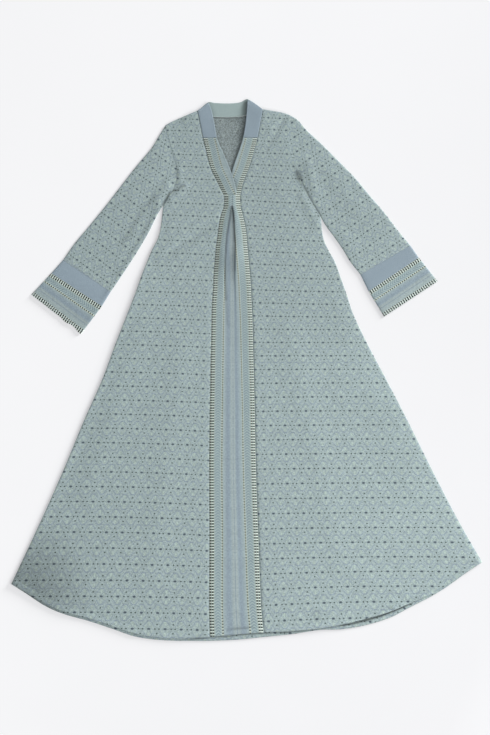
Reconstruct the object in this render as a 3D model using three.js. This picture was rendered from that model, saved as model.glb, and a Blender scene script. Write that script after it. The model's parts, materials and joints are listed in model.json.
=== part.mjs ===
// A maxi dress in jacquard knit, laid flat on its back. Millimetres, +Z up.
// X runs across the dress, Y runs up to the neck, and the table it lies on is Z = 0.
// Left and right are as seen from above.
import * as THREE from "three";

// ---- Cloth and seams ----
const BACK_WALL = 1.4;        // back panel
const FRONT_WALL = 1.5;       // fronts
const CENTRE_WALL = 1.2;      // centre panel, finer so that its pleat packs flat
const SLEEVE_WALL = 1.4;      // sleeves and cuffs
const BAND_WALL = 2.0;        // neckband, two layers sewn together
const LAYER_GAP = 0.3;        // between cloths that lie on each other
const SEAM_GAP = 0.4;         // between the edges of pieces that a seam joins
const FRONT_BED = BACK_WALL + LAYER_GAP;
const HEM_DEPTH = 15;         // turned-up hem
const HEM_EXTRA = 0.8;        // what the turning adds to the wall

// ---- Outline, from the shoulders down ----
const SHOULDER_TIP = { left: [-220, 659], right: [117, 687] };
const NECK_POINT = { left: [-133, 699], right: [43, 703] };
const SHOULDER_BEND = { left: [-205, 668], right: [99, 693] };
const ARMPIT = { left: [-196, 490], right: [143, 518] };
const UNDERARM = { left: [-225, 445], right: [200, 413] };
const HEM_CORNER = { left: [-635, -578], right: [635, -519] };

const ARMHOLE = {
  left: [[-207, 607], [-193, 560], [-188, 524]],
  right: [[115, 634], [119, 594], [134, 556]],
};
const UNDERARM_BEND = { left: [-210, 469], right: [168, 465] };

// A table becomes a list of rows whose fields are its column names.
function table(columns, ...rows) {
  const names = columns.split(" ");
  return rows.map((row) => Object.fromEntries(names.map((name, i) => [name, row[i]])));
}

// Side seams at each level of the body.
const BODY = table("y left right",
  [378, -233, 203],
  [351, -241, 208],
  [324, -255, 220],
  [291, -269, 238],
  [253, -284, 252],
  [205, -301, 269],
  [151, -322, 287],
  [67, -355, 327],
  [-27, -390, 377],
  [-135, -438, 433],
  [-270, -494, 500],
  [-405, -554, 570]);

// Hem edge at each station across; the back hangs a little below the front.
const HEM = table("x back front",
  [-635, -578, -578],
  [-593, -605, -602],
  [-542, -638, -632],
  [-493, -659, -653],
  [-429, -677, -670],
  [-365, -698, -691],
  [-304, -719, -711],
  [-257, -727, -720],
  [-202, -731, -725],
  [-153, -731.5, -724],
  [-100, -731.5, -720],
  [-21, -728, -712],
  [47, -721, -708],
  [117, -714, -705],
  [198, -702, -698],
  [257, -700, -687],
  [326, -688, -670],
  [391, -667, -651],
  [438, -642, -631],
  [495, -613, -606],
  [538, -587, -581],
  [592, -548, -546],
  [635, -519, -519]);

// Neckband edges: outer edges are seams, inner edges are the V.
const BAND = table("y outerLeft innerLeft innerRight outerRight stand",
  [699, -133, -95, 0, 43, 7.5],
  [661, -125, -87, -4, 36, 6.5],
  [626, -118, -81, -10, 29, 4.5],
  [592, -110, -67, -21, 20, 2.5],
  [546, -98, -47, -37, 6, 0.5],
  [507, -80, -34, -46, -9, 0],
  [472, -63, -27, -53, -17, 0]);
const BAND_TOP_INNER = { left: [-103, 723], right: [2, 731.5] };   // corners where the band folds back
const PLAIN_END = 626;        // the plain part of the band ends here
const BAND_END = 472;         // seam under the V
const BAND_CURL = 14;         // the band rises to its full stand this far from its fold
const CROSS_START = 548;      // the left border climbs over the right one
const CROSS_FULL = 524;
const CROSS_RISE = BAND_WALL + 0.5;
const CROSS_REACH = 0.3;      // part of its width over which it climbs
const BAND_BED = 0.2;         // the band lies this much above the cloth below it
const EDGE_STAND = 0.3;       // part of its full stand that the band has at its outer edge
const BAND_PLACES = [0, 0.2, 0.45, 0.72, 1];                     // points across the band
const PLAIN_PLACES = [0, 0.03, 0.07, 0.14, 0.25, 0.5, 0.75, 1];  // rows down its plain part
const BACK_BAND_PLACES = [0, 0.25, 0.6, 1];                      // rows down its back

// Back of the neckband: top edge and the seam to the back.
const BACK_BAND = table("x top seam",
  [-123, 707, 692],
  [-104, 723, 686],
  [-86, 720, 682],
  [-51, 719, 681],
  [-18, 722, 683],
  [2, 731.5, 688],
  [32, 711, 697]);

// Centre panel: its two seams, the two edges of the inverted pleat, how far the pleat is folded
// in, the angle its folds turn through (180 is folded flat) and how far the middle lies below.
const CENTRE = table("y seamLeft foldLeft foldRight seamRight depth turn drop",
  [471.6, -61, -40.3, -39.7, -18, 12, 180, 3],
  [440, -62, -40.3, -39.7, -16, 12, 180, 3],
  [428, -67, -41, -36.8, -13, 12, 180, 3],
  [402, -74, -47.9, -34, -6.5, 11, 180, 3],
  [370, -78, -53.6, -31.7, -0.7, 9.5, 180, 3],
  [333, -83.5, -57.6, -30.3, 2.5, 7, 180, 3],
  [291, -87, -60.3, -30.4, 6.4, 4, 180, 3],
  [251, -90, -62.2, -31, 10, 1.5, 150, 3.5],
  [216, -91.5, -62, -30, 12.2, 1, 95, 3.4],
  [180, -94, -61.5, -29, 13.8, 1, 55, 2.8],
  [135, -95.3, -61, -28.5, 16, 1, 30, 2.2],
  [54, -97, -60, -28, 18, 1, 12, 1.4],
  [-95, -99.8, -60, -26, 22, 1, 7, 0.8],
  [-257, -101.7, -60, -24, 25, 1, 6, 0.6],
  [-468, -101, -58, -18, 32.5, 1, 6, 0.6],
  [-630, -102, -56, -14, 39, 1, 6, 0.6],
  [-708, -100, -54, -10, 46, 1, 6, 0.6]);
const PLEAT_RADIUS = (CENTRE_WALL + LAYER_GAP) / 2;   // of the cloth's middle at a flat fold
const FLAT_TURN = 180;        // the angle of a fold that lies flat
const LEVEL_MARGIN = 4;       // the panel lies level this far past the cloth folded in below it
const LEAST_RAMP = 0.3;       // it climbs from its seam over at least this part of the way to the fold
const RAMP_BELLY = 0.55;      // how much of the climb is done half way
const SHARPEST_BEND = 0.5;    // keeps the wall from growing at a sharp bend
const HEM_BLEND = 4;          // how late the levels down the dress take on the curve of the hem

// ---- Sleeves and cuffs ----
const SLEEVE = {
  left: {
    outer: [[-237, 631], [-256, 599], [-283, 567], [-310, 534], [-347, 486], [-385, 437], [-425, 388],
      [-465, 340]],
    outerEnd: [-495, 297],
    lower: [[-240, 421], [-264, 372], [-292, 324], [-313, 291], [-345, 243]],
    lowerEnd: [-361, 219],
    borderOuter: [-527, 261],
    borderLower: [-391, 172],
    cuffOuter: [-581, 203],
    cuffLower: [-446, 98],
  },
  right: {
    outer: [[136, 676], [160, 648], [196, 615], [244, 567], [292, 518], [333, 469], [374, 421], [411, 372]],
    outerEnd: [441, 336],
    lower: [[214, 388], [238, 356], [260, 324], [280, 291]],
    lowerEnd: [307, 257],
    borderOuter: [464, 303],
    borderLower: [329, 212],
    cuffOuter: [515, 239],
    cuffLower: [371, 144],
  },
};
const SLEEVE_HEIGHT = 3.4;    // two walls with a little air
const FOLD_FADE = 12;         // how quickly its folds die out at its edges
const TUBE_PROFILE = table("across rise",    // how fast a flattened tube rounds up from its fold
  [0, 0], [0.012, 0.72], [0.035, 0.95], [0.125, 1], [0.25, 1], [0.375, 1], [0.5, 1],
  [0.625, 1], [0.75, 1], [0.875, 1], [0.965, 0.95], [0.988, 0.72], [1, 0]);

// ---- Folds that the cloth lies in: a ridge along a line, with its height and half width ----
const BODY_FOLDS = table("x0 y0 x1 y1 height width",
  [-206, 462, -164, 492, 2.2, 9],
  [-181, 540, -178, 506, 1.2, 8],
  [150, 470, 190, 395, 1.6, 12],
  [-150, 690, -165, 672, 0.9, 8],
  [-265, 230, -430, -330, 1.4, 34],
  [-175, 60, -260, -560, 1.1, 30],
  [110, 120, 250, -520, 1.1, 32],
  [245, 190, 455, -330, 1.4, 36],
  [300, -560, 430, -590, 1.2, 22]);
const SLEEVE_FOLDS = table("x0 y0 x1 y1 height width",
  [-214, 500, -240, 455, 1.8, 12],
  [-225, 560, -320, 440, 0.9, 20],
  [-350, 300, -300, 375, 0.9, 12],
  [165, 560, 185, 480, 1.8, 14],
  [200, 560, 300, 430, 0.9, 20],
  [285, 330, 262, 362, 0.9, 12]);
const CENTRE_LIFT = { x: -40, y: 430, reachX: 45, reachY: 110, height: 0.9 };
const NECK_LIFT = { reachX: 38, reachY: 60, height: 2 };

// ---- Number of steps ----
const ARMHOLE_ROWS = 8;
const UNDERARM_ROWS = 4;
const PLAIN_ROWS = 4;
const BORDER_ROWS = ARMHOLE_ROWS + UNDERARM_ROWS - PLAIN_ROWS;
const FRONT_COLUMNS = 9;
const SLEEVE_ROWS = 9;
const SHOULDER_COLUMNS = 4;
const BACK_BAND_COLUMNS = 14;
const OUTER_EDGE_STEPS = 200; // of a sleeve's outer edge, before it is cut to match the lower one

const COLOUR = { jacquard: 0x95a6a6, border: 0x9aacac, plain: 0x8497a4, inside: 0x9aadaa };

// ---- Lines and curves ----
const mix = THREE.MathUtils.lerp;
const smooth = THREE.MathUtils.smoothstep;

// A smooth value of one column of a table at any level, by cubic steps between its rows.
function column(rows, key, name) {
  const sorted = [...rows].sort((a, b) => a[key] - b[key]);
  const slope = (i) => {
    const low = sorted[Math.max(i - 1, 0)];
    const high = sorted[Math.min(i + 1, sorted.length - 1)];
    return (high[name] - low[name]) / (high[key] - low[key]);
  };
  return (at) => {
    let i = 0;
    while (i < sorted.length - 2 && at > sorted[i + 1][key]) i += 1;
    const step = sorted[i + 1][key] - sorted[i][key];
    const t = THREE.MathUtils.clamp((at - sorted[i][key]) / step, 0, 1);
    const a = sorted[i][name];
    const b = sorted[i + 1][name];
    return a + (b - a) * t * t * (3 - 2 * t)
      + step * t * (1 - t) * (slope(i) * (1 - t) - slope(i + 1) * t);
  };
}

// A smooth curve through a few points, cut into equal lengths.
function sampled(points, steps) {
  const curve = new THREE.CatmullRomCurve3(points.map(([x, y]) => new THREE.Vector3(x, y, 0)),
    false, "centripetal");
  return curve.getSpacedPoints(steps).map((p) => [p.x, p.y]);
}

// The point a given part of the way along a polyline, counted in its own steps.
function along(line, part) {
  const at = THREE.MathUtils.clamp(part, 0, 1) * (line.length - 1);
  const i = Math.min(Math.floor(at), line.length - 2);
  return [mix(line[i][0], line[i + 1][0], at - i), mix(line[i][1], line[i + 1][1], at - i)];
}

// How far along a line each of its points is, as a part of its whole length.
function walked(line) {
  const far = [0];
  for (let i = 1; i < line.length; i += 1) {
    far.push(far[i - 1] + Math.hypot(line[i][0] - line[i - 1][0], line[i][1] - line[i - 1][1]));
  }
  return far.map((length) => length / far.at(-1));
}

const joined = (...lines) => lines.reduce((all, line) => [...all, ...line.slice(1)]);
const moved = (line, dx) => line.map(([x, y]) => [x + dx, y]);

// The patch spanned by four edges. start and end are the sides, top and foot run between them.
function patch({ start, end, top, foot }) {
  const parts = walked(start);
  return (u, row) => {
    const v = parts[row];
    return [0, 1].map((axis) => (1 - u) * start[row][axis] + u * end[row][axis]
      + (1 - v) * along(top, u)[axis] + v * along(foot, u)[axis]
      - (1 - v) * mix(top[0][axis], top[top.length - 1][axis], u)
      - v * mix(foot[0][axis], foot[foot.length - 1][axis], u));
  };
}

// ---- Solids ----
function clothPiece(name, colour, geometry) {
  const material = new THREE.MeshStandardMaterial({ color: colour, roughness: 0.9, metalness: 0 });
  const mesh = new THREE.Mesh(geometry, material);
  mesh.name = name;
  return mesh;
}

// A closed body from its points and its triangles.
function solid(name, colour, vertices, faces) {
  const geometry = new THREE.BufferGeometry();
  geometry.setAttribute("position", new THREE.Float32BufferAttribute(vertices.flat(), 3));
  geometry.setIndex(faces.flat());
  geometry.computeVertexNormals();
  return clothPiece(name, colour, geometry);
}

const quad = (a, b, c, d) => [a, b, c, a, c, d];

// A sheet of cloth: a grid of plan points with an upper and a lower face and a rim all round.
// grid[row][column] is [x, y, lower, upper]; rows run down the dress and columns to +X.
function sheet(name, colour, grid) {
  const rows = grid.length;
  const columns = grid[0].length;
  const count = rows * columns;
  const index = (row, col) => row * columns + col;
  const vertices = [
    ...grid.flat().map(([x, y, , upper]) => [x, y, upper]),
    ...grid.flat().map(([x, y, lower]) => [x, y, lower]),
  ];
  const faces = [];
  for (let row = 0; row < rows - 1; row += 1) {
    for (let col = 0; col < columns - 1; col += 1) {
      const corners = [index(row, col), index(row + 1, col), index(row + 1, col + 1), index(row, col + 1)];
      faces.push(quad(...corners));
      faces.push(quad(...corners.reverse().map((corner) => corner + count)));
    }
  }
  const rim = [];
  for (let col = 0; col < columns - 1; col += 1) rim.push(index(0, col));
  for (let row = 0; row < rows - 1; row += 1) rim.push(index(row, columns - 1));
  for (let col = columns - 1; col > 0; col -= 1) rim.push(index(rows - 1, col));
  for (let row = rows - 1; row > 0; row -= 1) rim.push(index(row, 0));
  rim.forEach((a, i) => {
    const b = rim[(i + 1) % rim.length];
    faces.push(quad(a, b, b + count, a + count));
  });
  return solid(name, colour, vertices, faces);
}

// A wall bent round a hollow: outer and inner rings of the same number of points, open at both ends.
function tube(name, colour, outer, inner) {
  const size = outer[0].length;
  const count = outer.length * size;
  const vertices = [...outer.flat(), ...inner.flat()];
  const faces = [];
  for (let ring = 0; ring < outer.length - 1; ring += 1) {
    for (let i = 0; i < size; i += 1) {
      const next = (i + 1) % size;
      const corners = [ring * size + i, (ring + 1) * size + i, (ring + 1) * size + next, ring * size + next];
      faces.push(quad(...corners));
      faces.push(quad(...corners.reverse().map((corner) => corner + count)));
    }
  }
  const last = (outer.length - 1) * size;
  for (let i = 0; i < size; i += 1) {
    const next = (i + 1) % size;
    faces.push(quad(i, next, next + count, i + count));
    faces.push(quad(last + next, last + i, last + i + count, last + next + count));
  }
  return solid(name, colour, vertices, faces);
}

// A sheet whose lower and upper faces are given point by point.
function strip(name, colour, lower, upper) {
  const rings = lower.map((row, i) => [...row, ...[...upper[i]].reverse()]);
  const size = rings[0].length;
  const vertices = rings.flat();
  const faces = [];
  for (let ring = 0; ring < rings.length - 1; ring += 1) {
    for (let i = 0; i < size; i += 1) {
      const next = (i + 1) % size;
      faces.push(quad(ring * size + i, ring * size + next, (ring + 1) * size + next, (ring + 1) * size + i));
    }
  }
  const end = (rings.length - 1) * size;
  for (let i = 0; i < size / 2 - 1; i += 1) {
    const [a, b, c, d] = [i, i + 1, size - 2 - i, size - 1 - i];
    faces.push(quad(d, c, b, a));
    faces.push(quad(end + a, end + b, end + c, end + d));
  }
  return solid(name, colour, vertices, faces);
}

// ---- The height the cloth lies at ----
function ridge(fold, x, y) {
  const dx = fold.x1 - fold.x0;
  const dy = fold.y1 - fold.y0;
  const part = ((x - fold.x0) * dx + (y - fold.y0) * dy) / (dx * dx + dy * dy);
  const t = THREE.MathUtils.clamp(part, 0, 1);
  const away = Math.hypot(x - fold.x0 - t * dx, y - fold.y0 - t * dy);
  return fold.height * Math.exp(-((away / fold.width) ** 2));
}

function dome(at, x, y) {
  return at.height * Math.exp(-(((x - at.x) / at.reachX) ** 2) - (((y - at.y) / at.reachY) ** 2));
}

function frontBed(x, y) {
  const folds = BODY_FOLDS.reduce((sum, fold) => sum + ridge(fold, x, y), 0);
  const neck = ["left", "right"].map((side) => {
    const [nx, ny] = NECK_POINT[side];
    return dome({ x: nx, y: ny, ...NECK_LIFT }, x, y);
  });
  return FRONT_BED + folds + neck[0] + neck[1] + dome(CENTRE_LIFT, x, y);
}

// ---- Shared seam lines ----
const hemFront = column(HEM, "x", "front");

function armholeLine(side) {
  return sampled([SHOULDER_TIP[side], ...ARMHOLE[side], ARMPIT[side]], ARMHOLE_ROWS);
}

function underarmLine(side) {
  return sampled([ARMPIT[side], UNDERARM_BEND[side], UNDERARM[side]], UNDERARM_ROWS);
}

function shoulderLine(side, steps) {
  return sampled([SHOULDER_TIP[side], SHOULDER_BEND[side], NECK_POINT[side]], steps);
}

// Levels down the centre panel: each row of its table, one between each two, and the hem fold.
const centreLevels = CENTRE.flatMap((row, i) => (
  i < CENTRE.length - 1 ? [row.y, (row.y + CENTRE[i + 1].y) / 2] : [row.y + HEM_DEPTH, row.y]));
const levelParts = centreLevels.map((y) => (centreLevels[0] - y) / (centreLevels[0] - centreLevels.at(-1)));

function sideLine(side) {
  const [topX, topY] = UNDERARM[side];
  const [footX, footY] = HEM_CORNER[side];
  const rows = BODY.map((row) => ({ y: row.y, x: row[side] }));
  const at = column([{ y: topY, x: topX }, ...rows, { y: footY, x: footX }], "y", "x");
  return levelParts.map((part) => {
    const y = mix(topY, footY, part);
    return [at(y), y];
  });
}

function centreSeam(side) {
  const name = side === "left" ? "seamLeft" : "seamRight";
  const at = column(CENTRE, "y", name);
  return centreLevels.map((y, i) => {
    const x = at(y);
    return [x, mix(y, hemFront(x) - centreLevels.at(-1) + y, levelParts[i] ** HEM_BLEND)];
  });
}

function bandSeam(side) {
  const at = column(BAND, "y", side === "left" ? "outerLeft" : "outerRight");
  const top = NECK_POINT[side][1];
  const line = (from, to, steps) => Array.from({ length: steps + 1 }, (_, i) => {
    const y = mix(from, to, i / steps);
    return [at(Math.min(y, BAND[0].y)), y];
  });
  return joined(line(top, PLAIN_END, PLAIN_ROWS), line(PLAIN_END, BAND_END, BORDER_ROWS));
}

// ---- Pieces ----
function backPanel() {
  const outline = (side) => joined(armholeLine(side), underarmLine(side), sideLine(side));
  const hem = HEM.slice(1, -1).map(({ x, back }) => [x, back]);
  const neck = BACK_BAND.map(({ x, seam }) => [x, seam - SEAM_GAP]);
  const shoulder = (side) => shoulderLine(side, SHOULDER_COLUMNS).slice(1);
  const points = [
    ...outline("left"), ...hem, ...outline("right").reverse(),
    ...shoulder("right"), ...neck.reverse(), ...shoulder("left").reverse(),
  ];
  const shape = new THREE.Shape(points.map(([x, y]) => new THREE.Vector2(x, y)));
  const geometry = new THREE.ExtrudeGeometry(shape, { depth: BACK_WALL, bevelEnabled: false });
  return clothPiece("back_panel", COLOUR.jacquard, geometry);
}

function frontPanel(side) {
  const outerEdge = joined(armholeLine(side), underarmLine(side), sideLine(side));
  const innerEdge = [...bandSeam(side), ...centreSeam(side).slice(1)];
  const isLeft = side === "left";
  const shoulder = shoulderLine(side, FRONT_COLUMNS);
  const [outerFoot, innerFoot] = [outerEdge.at(-1)[0], innerEdge.at(-1)[0]];
  const hem = Array.from({ length: FRONT_COLUMNS + 1 }, (_, i) => {
    const x = mix(outerFoot, innerFoot, i / FRONT_COLUMNS);
    return [x, hemFront(x)];
  });
  const plan = isLeft
    ? patch({ start: outerEdge, end: innerEdge, top: shoulder, foot: hem })
    : patch({ start: innerEdge, end: outerEdge, top: [...shoulder].reverse(), foot: [...hem].reverse() });
  const lastRow = outerEdge.length - 1;
  const grid = outerEdge.map((_, row) => Array.from({ length: FRONT_COLUMNS + 1 }, (_unused, i) => {
    const [x, y] = plan(i / FRONT_COLUMNS, row);
    const lower = frontBed(x, y);
    return [x, y, lower, lower + FRONT_WALL + (row >= lastRow - 1 ? HEM_EXTRA : 0)];
  }));
  return sheet(`front_panel_${side}`, COLOUR.jacquard, grid);
}

// One half of the pleat, from the seam to the middle: points of the cloth's middle line.
function pleatHalf(width, fold, row, seamHeight, bed) {
  const angle = THREE.MathUtils.degToRad(row.turn);
  const open = 1 - row.turn / FLAT_TURN;
  const fall = 1 - Math.cos(angle);
  const radius = Math.max(PLEAT_RADIUS, (row.drop - row.depth * Math.sin(angle)) / (2 * fall));
  const top = bed + 2 * radius * fall + row.depth * Math.sin(angle);
  const edge = PLEAT_RADIUS + CENTRE_WALL / 2;
  const start = fold - edge * (1 - open) - radius * Math.sin(angle) * open;
  const ramp = Math.max(start - row.depth - LEVEL_MARGIN, start * LEAST_RAMP);
  const points = [[0, seamHeight], [ramp / 2, mix(seamHeight, top, RAMP_BELLY)], [ramp, top],
    [(ramp + start) / 2, top]];
  const arc = [0, 0.25, 0.5, 0.75, 1].map((part) => part * angle);
  for (const a of arc) points.push([start + radius * Math.sin(a), top - radius * (1 - Math.cos(a))]);
  const [turnX, turnZ] = points.at(-1);
  const footX = turnX + row.depth * Math.cos(angle);
  const footZ = turnZ - row.depth * Math.sin(angle);
  for (const a of arc.reverse()) {
    points.push([footX + radius * (Math.sin(angle) - Math.sin(a)),
      footZ - radius * (Math.cos(a) - Math.cos(angle))]);
  }
  points.push([mix(points.at(-1)[0], width / 2, 0.5), bed]);
  return points;
}

// Points half a wall to either side of a line across the panel.
function thickened(line, wall) {
  return line.map((point, i) => {
    const before = line[Math.max(i - 1, 0)];
    const after = line[Math.min(i + 1, line.length - 1)];
    const unit = (a, b) => {
      const length = Math.hypot(b[0] - a[0], b[1] - a[1]) || 1;
      return [(b[0] - a[0]) / length, (b[1] - a[1]) / length];
    };
    const first = i ? unit(before, point) : unit(point, after);
    const second = i < line.length - 1 ? unit(point, after) : first;
    const normal = [-(first[1] + second[1]), first[0] + second[0]];
    const scale = wall / 2 / Math.max(Math.hypot(...normal) ** 2 / 2, SHARPEST_BEND);
    return [[point[0] - normal[0] * scale, point[1] - normal[1] * scale],
      [point[0] + normal[0] * scale, point[1] + normal[1] * scale]];
  });
}

function centrePanel() {
  const left = moved(centreSeam("left"), SEAM_GAP);
  const right = moved(centreSeam("right"), -SEAM_GAP);
  const columns = ["foldLeft", "foldRight", "depth", "turn", "drop"];
  const at = Object.fromEntries(columns.map((name) => [name, column(CENTRE, "y", name)]));
  const lower = [];
  const upper = [];
  centreLevels.forEach((level, row) => {
    const [a, b] = [left[row], right[row]];
    const width = b[0] - a[0];
    const bed = (x, y) => frontBed(x, y) + CENTRE_WALL / 2;
    const middleBed = bed((a[0] + b[0]) / 2, a[1]);
    const turn = Math.min(at.turn(level), FLAT_TURN);
    const pleat = { depth: at.depth(level), turn, drop: at.drop(level) };
    const half = (fold, [x, y]) => pleatHalf(width, fold, pleat, bed(x, y), middleBed);
    const leftHalf = half(at.foldLeft(level) - a[0], a);
    const rightHalf = half(b[0] - at.foldRight(level), b).map(([s, z]) => [width - s, z]).reverse();
    const line = [...leftHalf, [width / 2, middleBed], ...rightHalf];
    const extra = row >= centreLevels.length - 2 ? HEM_EXTRA : 0;
    const place = ([s, z]) => [a[0] + s, mix(a[1], b[1], s / width), z];
    const walls = thickened(line, CENTRE_WALL);
    lower.push(walls.map(([under]) => place(under)));
    upper.push(walls.map(([, over]) => place([over[0], over[1] + extra])));
  });
  return strip("centre_panel", COLOUR.border, lower, upper);
}

// One half of the neckband front: the plain part above, or the border part below.
function neckband(side, kind) {
  const isLeft = side === "left";
  const isPlain = kind === "plain";
  const inward = isLeft ? 1 : -1;
  const seam = moved(bandSeam(side), inward * SEAM_GAP);
  const inner = column(BAND, "y", isLeft ? "innerLeft" : "innerRight");
  const stand = column(BAND, "y", "stand");
  const outerLine = isPlain ? seam.slice(0, PLAIN_ROWS + 1) : seam.slice(PLAIN_ROWS);
  const parts = isPlain ? PLAIN_PLACES : Array.from({ length: BORDER_ROWS + 1 }, (_, i) => i / BORDER_ROWS);
  const [cornerX, cornerY] = BAND_TOP_INNER[side];
  const topInner = column([{ y: cornerY, x: cornerX },
    ...BAND.slice(0, 3).map((row) => ({ y: row.y, x: isLeft ? row.innerLeft : row.innerRight }))], "y", "x");
  const grid = parts.map((part, row) => {
    const outer = along(outerLine, part);
    const lift = row === 0 && !isPlain ? SEAM_GAP : 0;
    const innerY = isPlain ? mix(cornerY, PLAIN_END, part) : outer[1];
    const innerPoint = [isPlain ? topInner(innerY) : inner(innerY), innerY];
    return BAND_PLACES.map((across) => {
      const x = mix(outer[0], innerPoint[0], across);
      const y = mix(outer[1], innerPoint[1], across) - lift;
      const fromFold = isPlain ? part * (cornerY - PLAIN_END) : BAND_CURL;
      const curl = Math.min(1, Math.sqrt(fromFold / BAND_CURL));
      const rise = stand(Math.min(y, BAND[0].y)) * mix(EDGE_STAND, 1, across) * curl;
      const cross = isLeft && !isPlain
        ? CROSS_RISE * smooth(across, 0, CROSS_REACH) * (1 - smooth(y, CROSS_FULL, CROSS_START)) : 0;
      const bed = isPlain ? Math.max(frontBed(x, y), BAND_WALL + LAYER_GAP) : frontBed(x, y);
      const lower = bed + BAND_BED + rise + cross;
      return [x, y, lower, lower + BAND_WALL];
    });
  });
  const facing = isLeft ? grid : grid.map((row) => [...row].reverse());
  return sheet(`neckband_${side}_${kind}`, isPlain ? COLOUR.plain : COLOUR.border, facing);
}

function neckbandBack() {
  const top = column(BACK_BAND, "x", "top");
  const seam = column(BACK_BAND, "x", "seam");
  const [from, to] = [BACK_BAND[0].x, BACK_BAND.at(-1).x];
  const stations = [...new Set([...BACK_BAND.map((row) => row.x),
    ...Array.from({ length: BACK_BAND_COLUMNS + 1 }, (_, i) => mix(from, to, i / BACK_BAND_COLUMNS))])]
    .sort((a, b) => a - b);
  const linear = (x) => {
    const i = Math.min(BACK_BAND.findLastIndex((row) => row.x <= x), BACK_BAND.length - 2);
    const part = (x - BACK_BAND[i].x) / (BACK_BAND[i + 1].x - BACK_BAND[i].x);
    return mix(BACK_BAND[i].seam, BACK_BAND[i + 1].seam, part);
  };
  const grid = BACK_BAND_PLACES.map((down) => stations.map((x) => (
    [x, mix(top(x), linear(x), down), 0, BAND_WALL])));
  return sheet("neckband_back", COLOUR.inside, grid);
}

// The rings of a flattened tube between two edges that are folds.
function flatTube(name, colour, plan, rows) {
  const middle = SLEEVE_HEIGHT / 2;
  const ring = (row, inset, squeeze) => {
    const place = (profile, up) => {
      const u = 0.5 + (profile.across - 0.5) * (1 - 2 * inset);
      const [x, y] = plan(u, row);
      const folds = SLEEVE_FOLDS.reduce((sum, fold) => sum + ridge(fold, x, y), 0);
      const edge = Math.min(1, profile.across * (1 - profile.across) * FOLD_FADE);
      const raised = up > 0 ? folds * edge : 0;
      return [x, y, middle + up * profile.rise * middle * squeeze + raised];
    };
    const over = TUBE_PROFILE.map((profile) => place(profile, 1));
    const under = TUBE_PROFILE.slice(1, -1).reverse().map((profile) => place(profile, -1));
    return [...over, ...under];
  };
  const width = Math.hypot(plan(1, 0)[0] - plan(0, 0)[0], plan(1, 0)[1] - plan(0, 0)[1]);
  const squeeze = (middle - SLEEVE_WALL) / middle;
  const outer = rows.map((row) => ring(row, 0, 1));
  const inner = rows.map((row) => ring(row, SLEEVE_WALL / width, squeeze));
  return tube(name, colour, outer, inner);
}

function sleeve(side) {
  const data = SLEEVE[side];
  const isLeft = side === "left";
  const away = isLeft ? -SEAM_GAP : SEAM_GAP;
  const armhole = moved(armholeLine(side), away);
  const underarm = moved(underarmLine(side), away);
  const lowerRun = sampled([underarm.at(-1), ...data.lower, data.lowerEnd], SLEEVE_ROWS);
  const lower = joined(underarm, lowerRun);
  const fine = sampled([armhole[0], ...data.outer, data.outerEnd], OUTER_EDGE_STEPS);
  const outer = walked(lower).map((part) => along(fine, part));
  const cuffSeam = [data.outerEnd, data.lowerEnd];
  const plan = isLeft
    ? patch({ start: outer, end: lower, top: armhole, foot: cuffSeam })
    : patch({ start: lower, end: outer, top: [...armhole].reverse(), foot: [...cuffSeam].reverse() });
  return flatTube(`sleeve_${side}`, COLOUR.jacquard, plan, outer.map((_, row) => row));
}

// A cuff ring between two lines across the sleeve end.
function cuff(side, kind) {
  const data = SLEEVE[side];
  const [outerTop, lowerTop, outerFoot, lowerFoot] = kind === "plain"
    ? [data.outerEnd, data.lowerEnd, data.borderOuter, data.borderLower]
    : [data.borderOuter, data.borderLower, data.cuffOuter, data.cuffLower];
  const isLeft = side === "left";
  const edge = (from, to) => {
    const length = Math.hypot(to[0] - from[0], to[1] - from[1]);
    return [SEAM_GAP / length, 0.5, 1].map((part) => along([from, to], part));
  };
  const [outer, lower] = [edge(outerTop, outerFoot), edge(lowerTop, lowerFoot)];
  const plan = (u, row) => (isLeft ? along([outer[row], lower[row]], u) : along([lower[row], outer[row]], u));
  const colour = kind === "plain" ? COLOUR.plain : COLOUR.border;
  return flatTube(`cuff_${kind}_${side}`, colour, plan, [0, 1, 2]);
}

const dress = new THREE.Group();
dress.add(backPanel(), centrePanel(), neckbandBack());
for (const side of ["left", "right"]) {
  dress.add(frontPanel(side), sleeve(side));
  for (const kind of ["plain", "border"]) dress.add(neckband(side, kind), cuff(side, kind));
}

export default dress;
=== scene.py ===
# %% [markdown]
# # A jacquard knit maxi dress, laid flat
# The dress lies on its back on a pale table and is looked at from straight above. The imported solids
# give each panel's place. Here every panel becomes a thin closed shell of cloth on its solid's form,
# with creases, hems, stitches and knitted patterns. Sizes are in millimetres, and `metres` turns a
# list of points into Blender's unit just before a mesh is made.

# %% The frame
import json
import math
import bpy
import numpy as np
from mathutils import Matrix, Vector
from mathutils.bvhtree import BVHTree

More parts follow.
